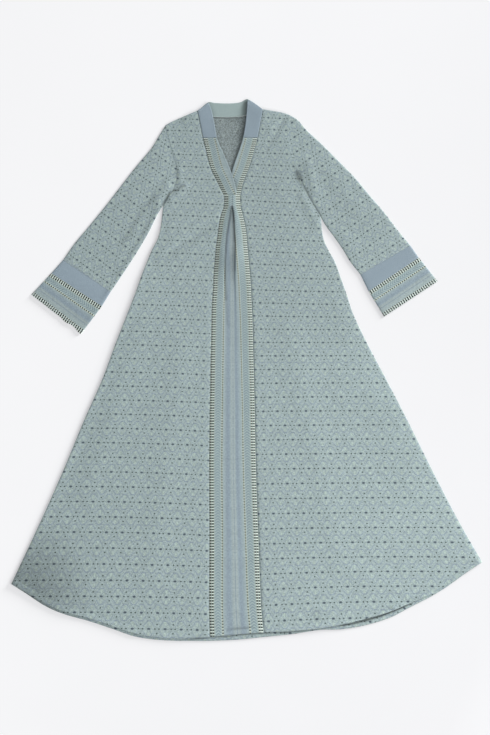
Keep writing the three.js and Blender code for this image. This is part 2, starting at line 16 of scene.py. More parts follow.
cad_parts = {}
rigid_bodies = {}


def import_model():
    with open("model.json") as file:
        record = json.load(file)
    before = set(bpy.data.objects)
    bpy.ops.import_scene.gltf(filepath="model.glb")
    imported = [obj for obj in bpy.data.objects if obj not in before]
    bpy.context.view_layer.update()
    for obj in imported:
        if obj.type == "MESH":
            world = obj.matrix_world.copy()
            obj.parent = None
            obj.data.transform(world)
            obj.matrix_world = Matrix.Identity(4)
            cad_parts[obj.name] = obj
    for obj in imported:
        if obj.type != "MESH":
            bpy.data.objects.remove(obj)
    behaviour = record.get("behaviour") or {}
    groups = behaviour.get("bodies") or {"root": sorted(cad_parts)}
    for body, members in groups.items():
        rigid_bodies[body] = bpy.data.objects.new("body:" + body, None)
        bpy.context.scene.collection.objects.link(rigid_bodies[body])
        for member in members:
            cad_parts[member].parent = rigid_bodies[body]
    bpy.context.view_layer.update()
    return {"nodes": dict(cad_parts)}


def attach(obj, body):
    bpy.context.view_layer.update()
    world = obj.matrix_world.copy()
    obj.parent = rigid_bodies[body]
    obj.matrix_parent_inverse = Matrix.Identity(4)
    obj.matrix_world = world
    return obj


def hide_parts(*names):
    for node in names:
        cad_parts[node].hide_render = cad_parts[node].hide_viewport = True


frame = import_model()
print("solids:", len(frame["nodes"]))

# %% [markdown]
# ## Camera, table and light
# A garment that is laid flat is seen from a camera hung straight over it. The table is a light table,
# as used to get a clean white ground: most of its brightness is its own, so it stays even while the
# cloth still shades it softly at its edges, and its glow eases off where the lamp lights it more. The
# lamp is a large soft box that stands low beyond the table's far right corner. Its light comes in
# almost along the table, so a fold that is only a millimetre high still gets a light and a dark side.
# A small second lamp and the room fill in the rest.

# %% Camera
VIEW_HEIGHT = 1984.5      # how much of the table the camera takes in, top to bottom
VIEW_CENTRE = (-4.7, 6.3)
LENS = 60
SENSOR = 36

camera_data = bpy.data.cameras.new("camera")
camera_data.lens = LENS
camera_data.sensor_width = SENSOR
camera = bpy.data.objects.new("camera", camera_data)
camera.location = (VIEW_CENTRE[0] / 1000, VIEW_CENTRE[1] / 1000, VIEW_HEIGHT / 1000 * LENS / SENSOR)
bpy.context.collection.objects.link(camera)
bpy.context.scene.camera = camera
bpy.context.scene.view_settings.view_transform = "Standard"
print("camera height in m:", round(camera.location.z, 3))

# %% [markdown]
# ## Colours and nodes
# Every finish below is a tree of shader nodes. Three small helpers keep those trees readable: one
# turns a hex colour to linear light, one adds any node and links it up, and one starts a material.


# %% Helpers for materials
def linear(hex_colour):
    """An sRGB hex colour as linear red, green, blue and alpha."""
    parts = [int(hex_colour[i:i + 2], 16) / 255 for i in (1, 3, 5)]
    return [part / 12.92 if part <= 0.04045 else ((part + 0.055) / 1.055) ** 2.4 for part in parts] + [1]


def add(tree, kind, inputs=(), out=0, **settings):
    """Adds a node with its settings, fills or links its inputs by place or by name, returns an output."""
    made = tree.nodes.new(kind)
    for name, value in settings.items():
        setattr(made, name, value)
    named = {socket.identifier: socket for socket in made.inputs}
    for place, value in (inputs.items() if isinstance(inputs, dict) else enumerate(inputs)):
        socket = named[place] if isinstance(place, str) else made.inputs[place]
        if isinstance(value, bpy.types.NodeSocket):
            tree.links.new(value, socket)
        else:
            socket.default_value = value
    return made.outputs[out] if len(made.outputs) else None


def new_material(name):
    """An empty node material and its tree."""
    material = bpy.data.materials.new(name)
    material.use_nodes = True
    material.node_tree.nodes.clear()
    return material, material.node_tree


print("mid grey in linear light:", round(linear("#808080")[0], 3))

# %% Table, room and lamps
TABLE_SIZE = 9.0          # metres
TABLE_SINK = 0.0002       # how far the table lies below the cloth, in metres
TABLE_GLOW = 0.193        # its own share of brightness in the middle
GLOW_ACROSS = -0.176      # how that share changes for each metre to the right
GLOW_UP = 0.055           # and for each metre towards the neck
GLOW_BOW = -0.0325        # the change of the slope across for each metre to the right
GLOW_TWIST = 0.0636       # and for each metre towards the neck
ROOM_LIGHT = 0.46
LAMPS = {                 # place and aim in metres, size of the soft box, and power in watts
    "window_lamp": ((6.4, 4.8, 1.6), (0.0, 0.0, 0.0), 1.8, 950),
    "fill_lamp": ((1.7, -1.4, 1.8), (0.2, -0.5, 0.0), 2.0, 45),
}

table_material, tree = new_material("light_table_acrylic")
place = add(tree, "ShaderNodeTexCoord", out="Object")
grain = add(tree, "ShaderNodeTexNoise", {"Scale": 4.0, "Vector": place})
tone = add(tree, "ShaderNodeMix", {"Factor_Float": grain, "A_Color": linear("#D9D9DA"),
    "B_Color": linear("#DBDBDC")}, out=2, data_type="RGBA")
to_right, to_neck, _ = add(tree, "ShaderNodeSeparateXYZ", [place]).node.outputs
slope = add(tree, "ShaderNodeMath", [to_right, GLOW_BOW, GLOW_ACROSS], operation="MULTIPLY_ADD")
slope = add(tree, "ShaderNodeMath", [to_neck, GLOW_TWIST, slope], operation="MULTIPLY_ADD")
strength = add(tree, "ShaderNodeMath", [to_right, slope, TABLE_GLOW], operation="MULTIPLY_ADD")
strength = add(tree, "ShaderNodeMath", [to_neck, GLOW_UP, strength], operation="MULTIPLY_ADD", use_clamp=True)
lit = add(tree, "ShaderNodeBsdfDiffuse", [tone])
own = add(tree, "ShaderNodeEmission", [linear("#FFFFFF"), strength])
add(tree, "ShaderNodeOutputMaterial", [add(tree, "ShaderNodeAddShader", [lit, own])])

half = TABLE_SIZE / 2
corners = [(-half, -half), (half, -half), (half, half), (-half, half)]
table_mesh = bpy.data.meshes.new("table")
table_mesh.from_pydata([(*corner, -TABLE_SINK) for corner in corners], [], [(0, 1, 2, 3)])
table_mesh.materials.append(table_material)
light_table = bpy.data.objects.new("light_table", table_mesh)
bpy.context.collection.objects.link(light_table)

room = bpy.data.worlds.new("room")
room.use_nodes = True
room.node_tree.nodes["Background"].inputs["Color"].default_value = linear("#FBFCFF")
room.node_tree.nodes["Background"].inputs["Strength"].default_value = ROOM_LIGHT
bpy.context.scene.world = room

for name, (spot, aim, size, watts) in LAMPS.items():
    data = bpy.data.lights.new(name, "AREA")
    data.size = size
    data.energy = watts
    lamp = bpy.data.objects.new(name, data)
    lamp.location = spot
    lamp.rotation_euler = (Vector(aim) - Vector(spot)).to_track_quat("-Z", "Y").to_euler()
    lamp.visible_camera = False
    bpy.context.collection.objects.link(lamp)
print("stage:", light_table.name, room.name, *LAMPS)

# %% [markdown]
# ## The cut
# The dress has a back, two fronts, a centre panel with one inverted pleat, a crossed neckband, and
# two sleeves that end in a plain band and a border. These tables hold the seams of the solids, and
# each row is one level down the dress. Only the pleat is packed a little flatter here than there.

# %% Sizes of the cloth
BACK_WALL = 1.4
FRONT_WALL = 1.5
CENTRE_WALL = 1.0
SLEEVE_WALL = 1.4
BAND_WALL = 2.0
LAYER_GAP = 0.3
SEAM_GAP = 0.4
FRONT_BED = BACK_WALL + LAYER_GAP
HEM_DEPTH = 15
HEM_EXTRA = 0.8
FINE = 6                  # steps here for each step of the solids
print("the fronts lie", FRONT_BED, "mm above the table")

# %% Corners and edges of the body
SHOULDER_TIP = {"left": (-220, 659), "right": (117, 687)}
NECK_POINT = {"left": (-133, 699), "right": (43, 703)}
SHOULDER_BEND = {"left": (-205, 668), "right": (99, 693)}
ARMPIT = {"left": (-196, 490), "right": (143, 518)}
UNDERARM = {"left": (-225, 445), "right": (200, 413)}
UNDERARM_BEND = {"left": (-210, 469), "right": (168, 465)}
HEM_CORNER = {"left": (-635, -578), "right": (635, -519)}
ARMHOLE = {
    "left": [(-207, 607), (-193, 560), (-188, 524)],
    "right": [(115, 634), (119, 594), (134, 556)],
}


def table(columns, *rows):
    """A list of rows as a dict from column name to an array."""
    return dict(zip(columns.split(), np.array(rows, float).T))


BODY = table("y left right",
    (378, -233, 203),
    (351, -241, 208),
    (324, -255, 220),
    (291, -269, 238),
    (253, -284, 252),
    (205, -301, 269),
    (151, -322, 287),
    (67, -355, 327),
    (-27, -390, 377),
    (-135, -438, 433),
    (-270, -494, 500),
    (-405, -554, 570))

HEM = table("x back front",
    (-635, -578, -578),
    (-593, -605, -602),
    (-542, -638, -632),
    (-493, -659, -653),
    (-429, -677, -670),
    (-365, -698, -691),
    (-304, -719, -711),
    (-257, -727, -720),
    (-202, -731, -725),
    (-153, -731.5, -724),
    (-100, -731.5, -720),
    (-21, -728, -712),
    (47, -721, -708),
    (117, -714, -705),
    (198, -702, -698),
    (257, -700, -687),
    (326, -688, -670),
    (391, -667, -651),
    (438, -642, -631),
    (495, -613, -606),
    (538, -587, -581),
    (592, -548, -546),
    (635, -519, -519))
print("half chest in mm:", BODY["right"][0] - BODY["left"][0])

# %% The neckband's places
BAND = table("y outerLeft innerLeft innerRight outerRight stand",
    (699, -133, -95, 0, 43, 7.5),
    (661, -125, -87, -4, 36, 6.5),
    (626, -118, -81, -10, 29, 4.5),
    (592, -110, -67, -21, 20, 2.5),
    (546, -98, -47, -37, 6, 0.5),
    (507, -80, -34, -46, -9, 0),
    (472, -63, -27, -53, -17, 0))
BAND_TOP_INNER = {"left": (-103, 723), "right": (2, 731.5)}
PLAIN_END = 626
BAND_END = 472
BAND_CURL = 14
CROSS_START = 548
CROSS_FULL = 524
CROSS_THINNING = 0.5      # both borders are pressed thinner where they cross
BAND_REACH = 1.0          # how far the crossed ends lie over the centre panel's top edge
BAND_TUCK = 0.5           # how far the borders' tops meet the rolled edge of the plain parts
STAND_SHARE = 0.35        # how much of the band's stand is left when it is laid flat
CORNER_REACH = 10         # how far from its fold the band's rounded corner is felt
CORNER_ROUND = 4.5
TOP_BOW = {"left": -1.5, "right": 0.8}

BACK_BAND = table("x top seam",
    (-123, 707, 692),
    (-104, 722, 686),
    (-86, 720.5, 682),
    (-51, 719, 681),
    (-18, 722, 683),
    (-2, 730, 687),
    (4, 730, 688.5),
    (32, 711, 697))
print("length of the V in mm:", BAND["y"][0] - BAND["y"][-1])

# %% The centre panel, level by level
CENTRE = table("y seamLeft foldLeft foldRight seamRight depth turn drop",
    (471.6, -61, -40.3, -39.7, -18, 7, 180, 2.4),
    (440, -62, -40.3, -39.7, -16, 7, 180, 2.4),
    (428, -67, -41, -36.8, -13, 7, 180, 2.4),
    (402, -74, -47.9, -34, -6.5, 7, 180, 2.4),
    (370, -78, -53.6, -31.7, -0.7, 7, 180, 2.4),
    (333, -83.5, -57.6, -30.3, 2.5, 6, 180, 2.6),
    (291, -87, -60.3, -30.4, 6.4, 3, 120, 2.2),
    (251, -90, -62.2, -31, 10, 1.5, 70, 1.4),
    (216, -91.5, -62, -30, 12.2, 1, 35, 0.8),
    (180, -94, -61.5, -29, 13.8, 1, 16, 0.5),
    (135, -95.3, -61, -28.5, 16, 1, 8, 0.3),
    (54, -97, -60, -28, 18, 1, 4, 0.2),
    (-95, -99.8, -60, -26, 22, 1, 3, 0.2),
    (-257, -101.7, -60, -24, 25, 1, 3, 0.2),
    (-468, -101, -58, -18, 32.5, 1, 3, 0.2),
    (-630, -102, -56, -14, 39, 1, 3, 0.2),
    (-708, -100, -54, -10, 46, 1, 3, 0.2))
PLEAT_GAP = 0.2           # between the layers of the pleat
PLEAT_RADIUS = (CENTRE_WALL + PLEAT_GAP) / 2
print("levels down the centre panel:", len(CENTRE["y"]))

# %% The sleeves' corners
SLEEVE = {
    "left": {
        "outer": [(-237, 631), (-256, 599), (-283, 567), (-310, 534), (-347, 486), (-385, 437), (-425, 388),
            (-465, 340)],
        "outerEnd": (-495, 297),
        "lower": [(-240, 421), (-264, 372), (-292, 324), (-313, 291), (-345, 243)],
        "lowerEnd": (-367, 211),
        "borderOuter": (-527, 261),
        "borderLower": (-391, 172),
        "cuffOuter": (-581, 203),
        "cuffLower": (-446, 98),
    },
    "right": {
        "outer": [(136, 676), (160, 648), (196, 615), (244, 567), (292, 518), (333, 469), (374, 421),
            (411, 372)],
        "outerEnd": (441, 336),
        "lower": [(214, 388), (238, 356), (260, 324), (280, 291)],
        "lowerEnd": (307, 257),
        "borderOuter": (464, 303),
        "borderLower": (329, 212),
        "cuffOuter": (515, 239),
        "cuffLower": (371, 144),
    },
}
SLEEVE_HEIGHT = 3.4
TUBE_EDGE = table("across rise",      # how the folded edge of a flattened tube rounds up
    (0, 0), (0.004, 0.4), (0.012, 0.72), (0.022, 0.87), (0.035, 0.95), (0.06, 0.985))
TUBE_FLAT_FROM = 0.1      # from here to the same place at the other edge it is flat
print("width of a cuff in mm:", round(math.dist(SLEEVE["left"]["cuffOuter"], SLEEVE["left"]["cuffLower"])))

# %% [markdown]
# ## Lines and patches
# A seam is one smooth line that the cloth on both sides shares. A panel is the patch that its four
# edge lines span, so its threads run from one edge to the other as they do in a cut panel.


# %% Lines
def column(rows, key, name):
    """A smooth value of one column at any place along the key column, by cubic steps."""
    order = np.argsort(rows[key])
    at, value = rows[key][order], rows[name][order]
    low, high = np.maximum(np.arange(len(at)) - 1, 0), np.minimum(np.arange(len(at)) + 1, len(at) - 1)
    slope = (value[high] - value[low]) / (at[high] - at[low])

    def smooth_value(place):
        i = np.clip(np.searchsorted(at, place, side="left") - 1, 0, len(at) - 2)
        step = at[i + 1] - at[i]
        t = np.clip((place - at[i]) / step, 0, 1)
        return (value[i] + (value[i + 1] - value[i]) * t * t * (3 - 2 * t)
            + step * t * (1 - t) * (slope[i] * (1 - t) - slope[i + 1] * t))

    return smooth_value


def sampled(points, steps):
    """A smooth curve through a few points, cut into equal lengths."""
    points = np.array(points, float)
    ends = [2 * points[0] - points[1], *points, 2 * points[-1] - points[-2]]
    curve = []
    for p0, p1, p2, p3 in zip(ends, ends[1:], ends[2:], ends[3:]):
        gaps = [max(np.linalg.norm(b - a) ** 0.5, 1e-4) for a, b in ((p0, p1), (p1, p2), (p2, p3))]
        leave = ((p1 - p0) / gaps[0] - (p2 - p0) / (gaps[0] + gaps[1]) + (p2 - p1) / gaps[1]) * gaps[1]
        arrive = ((p2 - p1) / gaps[1] - (p3 - p1) / (gaps[1] + gaps[2]) + (p3 - p2) / gaps[2]) * gaps[1]
        t = np.linspace(0, 1, 60)[:, None]
        curve.append(p1 + leave * t + (3 * (p2 - p1) - 2 * leave - arrive) * t ** 2
            + (2 * (p1 - p2) + leave + arrive) * t ** 3)
    return spaced(np.concatenate(curve), np.linspace(0, 1, steps + 1))


def walked(line):
    """How far along a line each of its points is."""
    return np.concatenate([[0], np.cumsum(np.linalg.norm(np.diff(line, axis=0), axis=1))])


def spaced(line, parts):
    """Points at the given parts of a line's length."""
    far = walked(line)
    return np.stack([np.interp(np.asarray(parts) * far[-1], far, line[:, axis]) for axis in (0, 1)], axis=1)


def along(line, parts):
    """Points at the given parts of a line, counted in the line's own steps."""
    at = np.clip(parts, 0, 1) * (len(line) - 1)
    return np.stack([np.interp(at, np.arange(len(line)), line[:, axis]) for axis in (0, 1)], axis=-1)


def joined(*lines):
    """Lines that share their end points, as one line."""
    return np.concatenate([lines[0], *[line[1:] for line in lines[1:]]])


def mix(a, b, t):
    return a + (b - a) * t


def smooth_step(x, low, high):
    t = np.clip((x - low) / (high - low), 0, 1)
    return t * t * (3 - 2 * t)


def patch(start, end, top, foot, across):
    """Plan points of the patch that four edges span: rows run down from top to foot."""
    v = (walked(start) / walked(start)[-1])[:, None, None]
    u = np.asarray(across)[None, :, None]
    top_line, foot_line = along(top, across)[None], along(foot, across)[None]
    sides = (1 - u) * start[:, None] + u * end[:, None]
    corners = (1 - v) * mix(top[0], top[-1], u) + v * mix(foot[0], foot[-1], u)
    return sides + (1 - v) * top_line + v * foot_line - corners


print("half way round a bend:", sampled([(0, 0), (10, 5), (20, 0)], 2)[1])

# %% Shared seams
hem_front = column(HEM, "x", "front")
hem_back = column(HEM, "x", "back")
ARMHOLE_ROWS = 8 * FINE
UNDERARM_ROWS = 4 * FINE
PLAIN_ROWS = 4 * FINE
BORDER_ROWS = ARMHOLE_ROWS + UNDERARM_ROWS - PLAIN_ROWS
LEVEL_STEPS = 2 * FINE    # steps between two rows of the centre panel's table
HEM_STEPS = np.array([1, 0.3, -0.4, -1.2, -4, -8, -11, -13.5])    # levels round the hem's turning
HEM_STEP_FROM, HEM_STEP_TO = -1, 4        # where the turning's step starts and ends, below its level

HEM_LEVEL = CENTRE["y"][-1]
FOLD_LEVEL = HEM_LEVEL + HEM_DEPTH        # where the hem's turning ends
stops = [*CENTRE["y"][:-1], FOLD_LEVEL + 1]
levels = np.concatenate([np.linspace(a, b, LEVEL_STEPS + 1)[:-1] for a, b in zip(stops, stops[1:])]
    + [FOLD_LEVEL + HEM_STEPS, [HEM_LEVEL]])
level_parts = (levels[0] - levels) / (levels[0] - levels[-1])


def hem_extra(level):
    """How much thicker the cloth is at that level, where the hem is turned up."""
    return HEM_EXTRA * smooth_step(FOLD_LEVEL - level, HEM_STEP_FROM, HEM_STEP_TO)


def armhole_line(side):
    return sampled([SHOULDER_TIP[side], *ARMHOLE[side], ARMPIT[side]], ARMHOLE_ROWS)


def underarm_line(side):
    return sampled([ARMPIT[side], UNDERARM_BEND[side], UNDERARM[side]], UNDERARM_ROWS)


def shoulder_line(side, steps):
    return sampled([SHOULDER_TIP[side], SHOULDER_BEND[side], NECK_POINT[side]], steps)


def side_line(side):
    (top_x, top_y), (foot_x, foot_y) = UNDERARM[side], HEM_CORNER[side]
    rows = {"y": np.array([top_y, *BODY["y"], foot_y]), "x": np.array([top_x, *BODY[side], foot_x])}
    y = mix(top_y, foot_y, level_parts)
    return np.stack([column(rows, "y", "x")(y), y], axis=1)


def centre_seam(side):
    x = column(CENTRE, "y", "seamLeft" if side == "left" else "seamRight")(levels)
    y = mix(levels, hem_front(x) - levels[-1] + levels, level_parts ** 4)
    return np.stack([x, y], axis=1)


def band_seam(side):
    at = column(BAND, "y", "outerLeft" if side == "left" else "outerRight")
    top = NECK_POINT[side][1]
    y = np.concatenate([np.linspace(top, PLAIN_END, PLAIN_ROWS + 1),
        np.linspace(PLAIN_END, BAND_END, BORDER_ROWS + 1)[1:]])
    return np.stack([at(np.minimum(y, BAND["y"][0])), y], axis=1)


def outer_edge(side):
    return joined(armhole_line(side), underarm_line(side), side_line(side))


print("rows down a front:", len(outer_edge("left")))

# %% [markdown]
# ## How high the cloth lies
# Cloth that is laid flat still keeps soft folds where it is pulled: from the armpits, below the
# neck, beside the pleat and along the sleeves. Each one is a ridge, or a trough where its height is
# below 0, along a short bent line that is listed below. Heights add up where folds meet.

# %% Folds
FOLDS = {
    # name: (height, half width, points)
    "left armpit": (2.2, 9, [(-206, 462), (-164, 492)]),
    "left armhole": (1.2, 8, [(-181, 540), (-178, 506)]),
    "right armpit": (1.6, 12, [(150, 470), (190, 395)]),
    "left shoulder": (0.9, 8, [(-150, 690), (-165, 672)]),
    "left flute": (1.4, 34, [(-265, 230), (-430, -330)]),
    "left inner flute": (1.1, 30, [(-175, 60), (-260, -560)]),
    "right inner flute": (1.1, 32, [(110, 120), (250, -520)]),
    "right flute": (1.4, 36, [(245, 190), (455, -330)]),
    "right hem": (1.2, 22, [(300, -560), (430, -590)]),
    "left bust": (1.1, 9, [(-78, 413), (-130, 386), (-190, 345), (-236, 306)]),
    "left bust dip": (-0.5, 10, [(-90, 392), (-150, 352), (-215, 312)]),
    "right shoulder dip": (-0.5, 11, [(106, 675), (84, 640), (57, 594)]),
    "right shoulder": (0.7, 12, [(90, 690), (60, 640)]),
    "right side": (1.0, 12, [(385, -70), (414, -160), (452, -262)]),
    "right knee": (0.8, 40, [(280, 0), (330, -90)]),
    "right hem dip": (-0.6, 9, [(189, -640), (194, -672)]),
    "right hem ripple": (0.6, 12, [(360, -630), (400, -625)]),
    "right corner": (0.8, 16, [(560, -500), (606, -516)]),
}
SLEEVE_FOLDS = {
    "left armpit": (1.8, 12, [(-214, 500), (-240, 455)]),
    "left elbow": (0.9, 20, [(-225, 560), (-320, 440)]),
    "left wrist": (0.9, 12, [(-350, 300), (-300, 375)]),
    "right armpit": (1.8, 14, [(165, 560), (185, 480)]),
    "right elbow": (0.9, 20, [(200, 560), (300, 430)]),
    "right wrist": (0.9, 12, [(285, 330), (262, 362)]),
    "left seam line": (0.8, 3.5, [(-236, 452), (-262, 400), (-302, 332), (-352, 254)]),
}
EDGE_LIFTS = {            # edges that curl up off the table, both cloths together
    "left side": (1.8, 12, [(-237, 378), (-322, 151), (-390, -27), (-494, -270), (-640, -582)]),
    "left hem": (2.0, 13, [(-640, -582), (-542, -640), (-429, -682), (-304, -722)]),
    "hem": (0.8, 10, [(-304, -722), (-153, -730), (47, -716), (257, -696), (438, -640), (635, -524)]),
}
CENTRE_LIFT = {"x": -40, "y": 430, "reach_x": 45, "reach_y": 110, "height": 0.9}
NECK_LIFT = {"reach_x": 38, "reach_y": 60, "height": 2}
DEEPEST_DIP = 0.2         # troughs may press the cloth below its bed by this much
print("folds on the body:", len(FOLDS), "and on the sleeves:", len(SLEEVE_FOLDS))

# %% [markdown]
# ## Painted shade and highlights in creases
# A crease at an armpit or along a fold of the pleat is narrower than a step of the mesh, and the cloth
# is darker in it, where little light gets in. A finer mesh would need many times the triangles, so
# that shade is painted instead: each of these is a line with a depth of painted shade. Such lines also
# paint the shadows beside the neckband's right fold, in the pocket slit and in the gap below the front
# hem. The mesh keeps the painted shade on its points as an attribute, and the yarn's colour reads it
# there. A depth below 0 is a painted highlight, and the widest lines paint a slow change of light over
# a whole piece.

# %% Painted shade and highlights of creases
# Lines of painted shade, and of painted highlights where the depth is below 0.
PAINTED_SHADE_AND_HIGHLIGHTS = {                # depth, half width, points
    "left_front_cloth": [
        (0.16, 1.6, centre_seam("left")[::6]),
        (0.55, 3.2, [(-226, 446), (-217, 461), (-207, 479), (-197, 484), (-186, 485)]),
        (0.35, 3, [(-186, 485), (-179, 494), (-167, 497)]),
        (0.4, 3, [(-204, 530), (-200, 505)]),
        (0.14, 12, [(-198, 560), (-196, 500)]),
        (0.09, 11, [(-85, 388), (-150, 344), (-215, 302)]),
        (-0.06, 9, [(-78, 413), (-130, 384), (-190, 343), (-240, 304)]),
        (0.06, 16, [(-215, 400), (-252, 300)]),
    ],
    "right_front_cloth": [
        (0.6, 8, [(137, 533), (142, 515)]),
        (0.4, 3.5, [(142, 514), (168, 466), (198, 416)]),
        (0.16, 12, [(130, 552), (150, 500)]),
        (0.12, 9, [(104, 672), (84, 640), (57, 594)]),
        (0.75, 2.6, [(270, 219), (271, 204)]),
        (-0.05, 40, [(265, 40), (290, -40)]),
        (0.05, 110, [(60, 520), (120, 180)]),
        (0.09, 8, [(408, -90), (440, -205), (478, -284)]),
        (0.3, 5, [(189, -650), (192, -676)]),
        (0.3, 5, [(384, -640), (398, -648)]),
        (-0.14, 2, [(254, -684), (297, -676), (333, -667), (365, -657), (392, -646), (419, -635),
            (440, -626)]),
        (0.22, 7, [(590, -505), (612, -522)]),
        (0.05, 90, [(560, -520), (480, -560)]),
    ],
    "left_sleeve_cloth": [
        (0.6, 3.2, [(-226, 446), (-217, 461), (-207, 479)]),
        (0.3, 3, [(-240, 436), (-266, 388), (-306, 322), (-354, 246)]),
        (0.16, 8, [(-250, 470), (-300, 400), (-330, 348)]),
    ],
    "right_sleeve_cloth": [
        (0.05, 60, [(215, 520), (330, 360)]),
        (0.5, 8, [(139, 533), (145, 515)]),
        (0.35, 3.2, [(145, 514), (171, 466), (201, 416)]),
    ],
    "left_cuff_plain_cloth": [
        (0.2, 3, [(-364, 232), (-392, 194)]),
        (-0.07, 40, [(-480, 275), (-400, 225)]),
        (0.28, 1.5, [(-495, 297), (-367, 211)]),
    ],
    "right_cuff_plain_cloth": [
        (0.2, 1.5, [(441, 336), (307, 257)]),
        (0.06, 40, [(450, 320), (320, 235)]),
    ],
    "left_cuff_border_cloth": [(0.14, 3, [(-394, 190), (-440, 128)])],
    "back_cloth": [
        (0.28, 5, [(-2, 690), (-10, 640), (-22, 590), (-40, 540)]),
        (0.12, 4, [(-92, 690), (-76, 620), (-42, 536)]),
        (0.2, 4, [(-88, 680), (-51, 679), (-4, 684)]),
        (0.5, 2, [(-153, -727), (-100, -723), (-58, -720), (-22, -714), (43, -711), (117, -708),
            (254, -690)]),
        (0.85, 2.6, [(252, -691), (297, -682), (333, -673), (365, -663), (392, -652), (419, -641),
            (440, -631)]),
    ],
    "back_neckband_cloth": [
        (0.45, 8, [(-3, 728), (-6, 684)]),
        (0.2, 9, [(-104, 722), (-92, 684)]),
    ],
    "left_neckband_plain_cloth": [
        (0.22, 2.2, [(-103, 723), (-95, 699), (-87, 661), (-81, 626)]),
        (-0.07, 60, [(-115, 700), (-100, 640)]),
    ],
    "right_neckband_plain_cloth": [(0.07, 60, [(20, 700), (8, 640)])],
    "left_neckband_border_cloth": [
        (0.2, 4, [(-66, 592), (-44, 546), (-28, 480)]),
        (0.2, 2.2, [(-81, 626), (-66, 592)]),
    ],
    "right_neckband_border_cloth": [(0.3, 5, [(-60, 580), (-44, 540), (-26, 490)])],
    "centre_pleat_cloth": [
        (0.66, 3, [(-40.5, 440), (-45, 415), (-50, 386), (-53.5, 365), (-56, 334), (-58.6, 291),
            (-58.6, 243)]),
        (0.45, 3.6, [(-58.6, 243), (-56, 189)]),
        (0.18, 4, [(-56, 189), (-52, 120)]),
        (0.7, 3, [(-39.5, 440), (-36, 426), (-34.4, 399)]),
        (0.5, 3.2, [(-34.4, 399), (-33, 372), (-32, 345)]),
        (0.22, 3.6, [(-32, 345), (-31.5, 270)]),
        (0.08, 9, [(-8, 300), (-3, 54), (1, -95), (4, -257), (11, -468), (18, -690)]),
        (0.25, 2.6, [(-8, -510), (-6, -600)]),
        (-0.06, 5, [(-45, 60), (-45, -640)]),
        (0.035, 8, [(-54, -60), (-54, -640)]),
        (-0.06, 12, [(-22, 40), (-20, -640)]),
        (0.3, 2.6, [(-52, -703), (-39, -700), (7, -696), (20, -694)]),
    ],
}
# The number of lines of painted shade and painted highlights.
print("creases with a tone of their own:", sum(map(len, PAINTED_SHADE_AND_HIGHLIGHTS.values())))


# %% Height and tone at any place
def ridge(x, y, height, width, points):
    """How much one fold adds: its section is a bell, and its ends fade out."""
    away = np.full(np.shape(x), 1e9)
    for (x0, y0), (x1, y1) in zip(points, points[1:]):
        dx, dy = x1 - x0, y1 - y0
        t = np.clip(((x - x0) * dx + (y - y0) * dy) / (dx * dx + dy * dy), 0, 1)
        away = np.minimum(away, np.hypot(x - x0 - t * dx, y - y0 - t * dy))
    return height * np.exp(-(away / width) ** 2)


def dome(px, py, x, y, reach_x, reach_y, height):
    return height * np.exp(-((px - x) / reach_x) ** 2 - ((py - y) / reach_y) ** 2)


def edge_lift(x, y):
    """How far the cloth has curled up off the table."""
    return np.max([ridge(x, y, *lift) for lift in EDGE_LIFTS.values()], axis=0)


def front_bed(x, y):
    """Height of the underside of whatever lies on the back panel."""
    folds = sum(ridge(x, y, *fold) for fold in FOLDS.values())
    neck = sum(dome(x, y, *NECK_POINT[side], **NECK_LIFT) for side in ("left", "right"))
    return FRONT_BED + edge_lift(x, y) + np.maximum(folds + neck + dome(x, y, **CENTRE_LIFT), -DEEPEST_DIP)


def painted_shade_at(name, x, y):
    """How much painted shade one piece gets at each point: the strongest painted crease plus the strongest
    painted highlight.
    """
    tones = [ridge(x, y, *crease) for crease in PAINTED_SHADE_AND_HIGHLIGHTS.get(name, [])] + [np.zeros(np.shape(x))]
    return np.max(tones, axis=0) + np.min(tones, axis=0)


print("height of the front's bed on the left flute:", round(float(front_bed(-347.0, -50.0)), 2))


# %% [markdown]
# ## From points to cloth
# A shell of cloth has a face side, a wrong side a wall's thickness below it, and a rim that closes
# the two all round. The rim's edges are drawn in by a fraction of a millimetre, so that each edge
# looks rolled, and two shells side by side show the shallow groove of a seam. Smooth shading blends
# the directions of the faces that meet at a point, so the cut end of a tube would darken a whole step
# of its outside. One more ring close to each end keeps that to a fraction of a millimetre.


# %% From points to an object
def metres(points):
    return np.asarray(points, float) / 1000


def finish_mesh(name, points, faces, uv, materials, kinds):
    """A smooth mesh object with one UV pair a point and a material index a face."""
    mesh = bpy.data.meshes.new(name)
    mesh.from_pydata(metres(points).tolist(), [], faces)
    layer = mesh.uv_layers.new(name="cloth")
    corners = np.zeros(len(mesh.loops), int)
    mesh.loops.foreach_get("vertex_index", corners)
    layer.data.foreach_set("uv", np.asarray(uv, np.float32)[corners].ravel())
    # The painted shade and painted highlights of the piece's creases, kept on its points.
    shade = mesh.attributes.new("shade", "FLOAT", "POINT")
    shade.data.foreach_set("value", painted_shade_at(name, points[:, 0], points[:, 1]).astype(np.float32))
    for material in materials:
        mesh.materials.append(material)
    mesh.polygons.foreach_set("material_index", kinds)
    mesh.polygons.foreach_set("use_smooth", [True] * len(mesh.polygons))
    mesh.update()
    made = bpy.data.objects.new(name, mesh)
    bpy.context.collection.objects.link(made)
    return made


print("a metre in mm:", 1 / metres(1))

# %% Closed sheets
EDGE_ROLL = 0.55          # how far a rim's corners are drawn in
ROLL_SHARE = 0.4          # and never more than this share of the wall
ROLL_DOWN = 0.45          # how much of that they also go towards the middle of the wall


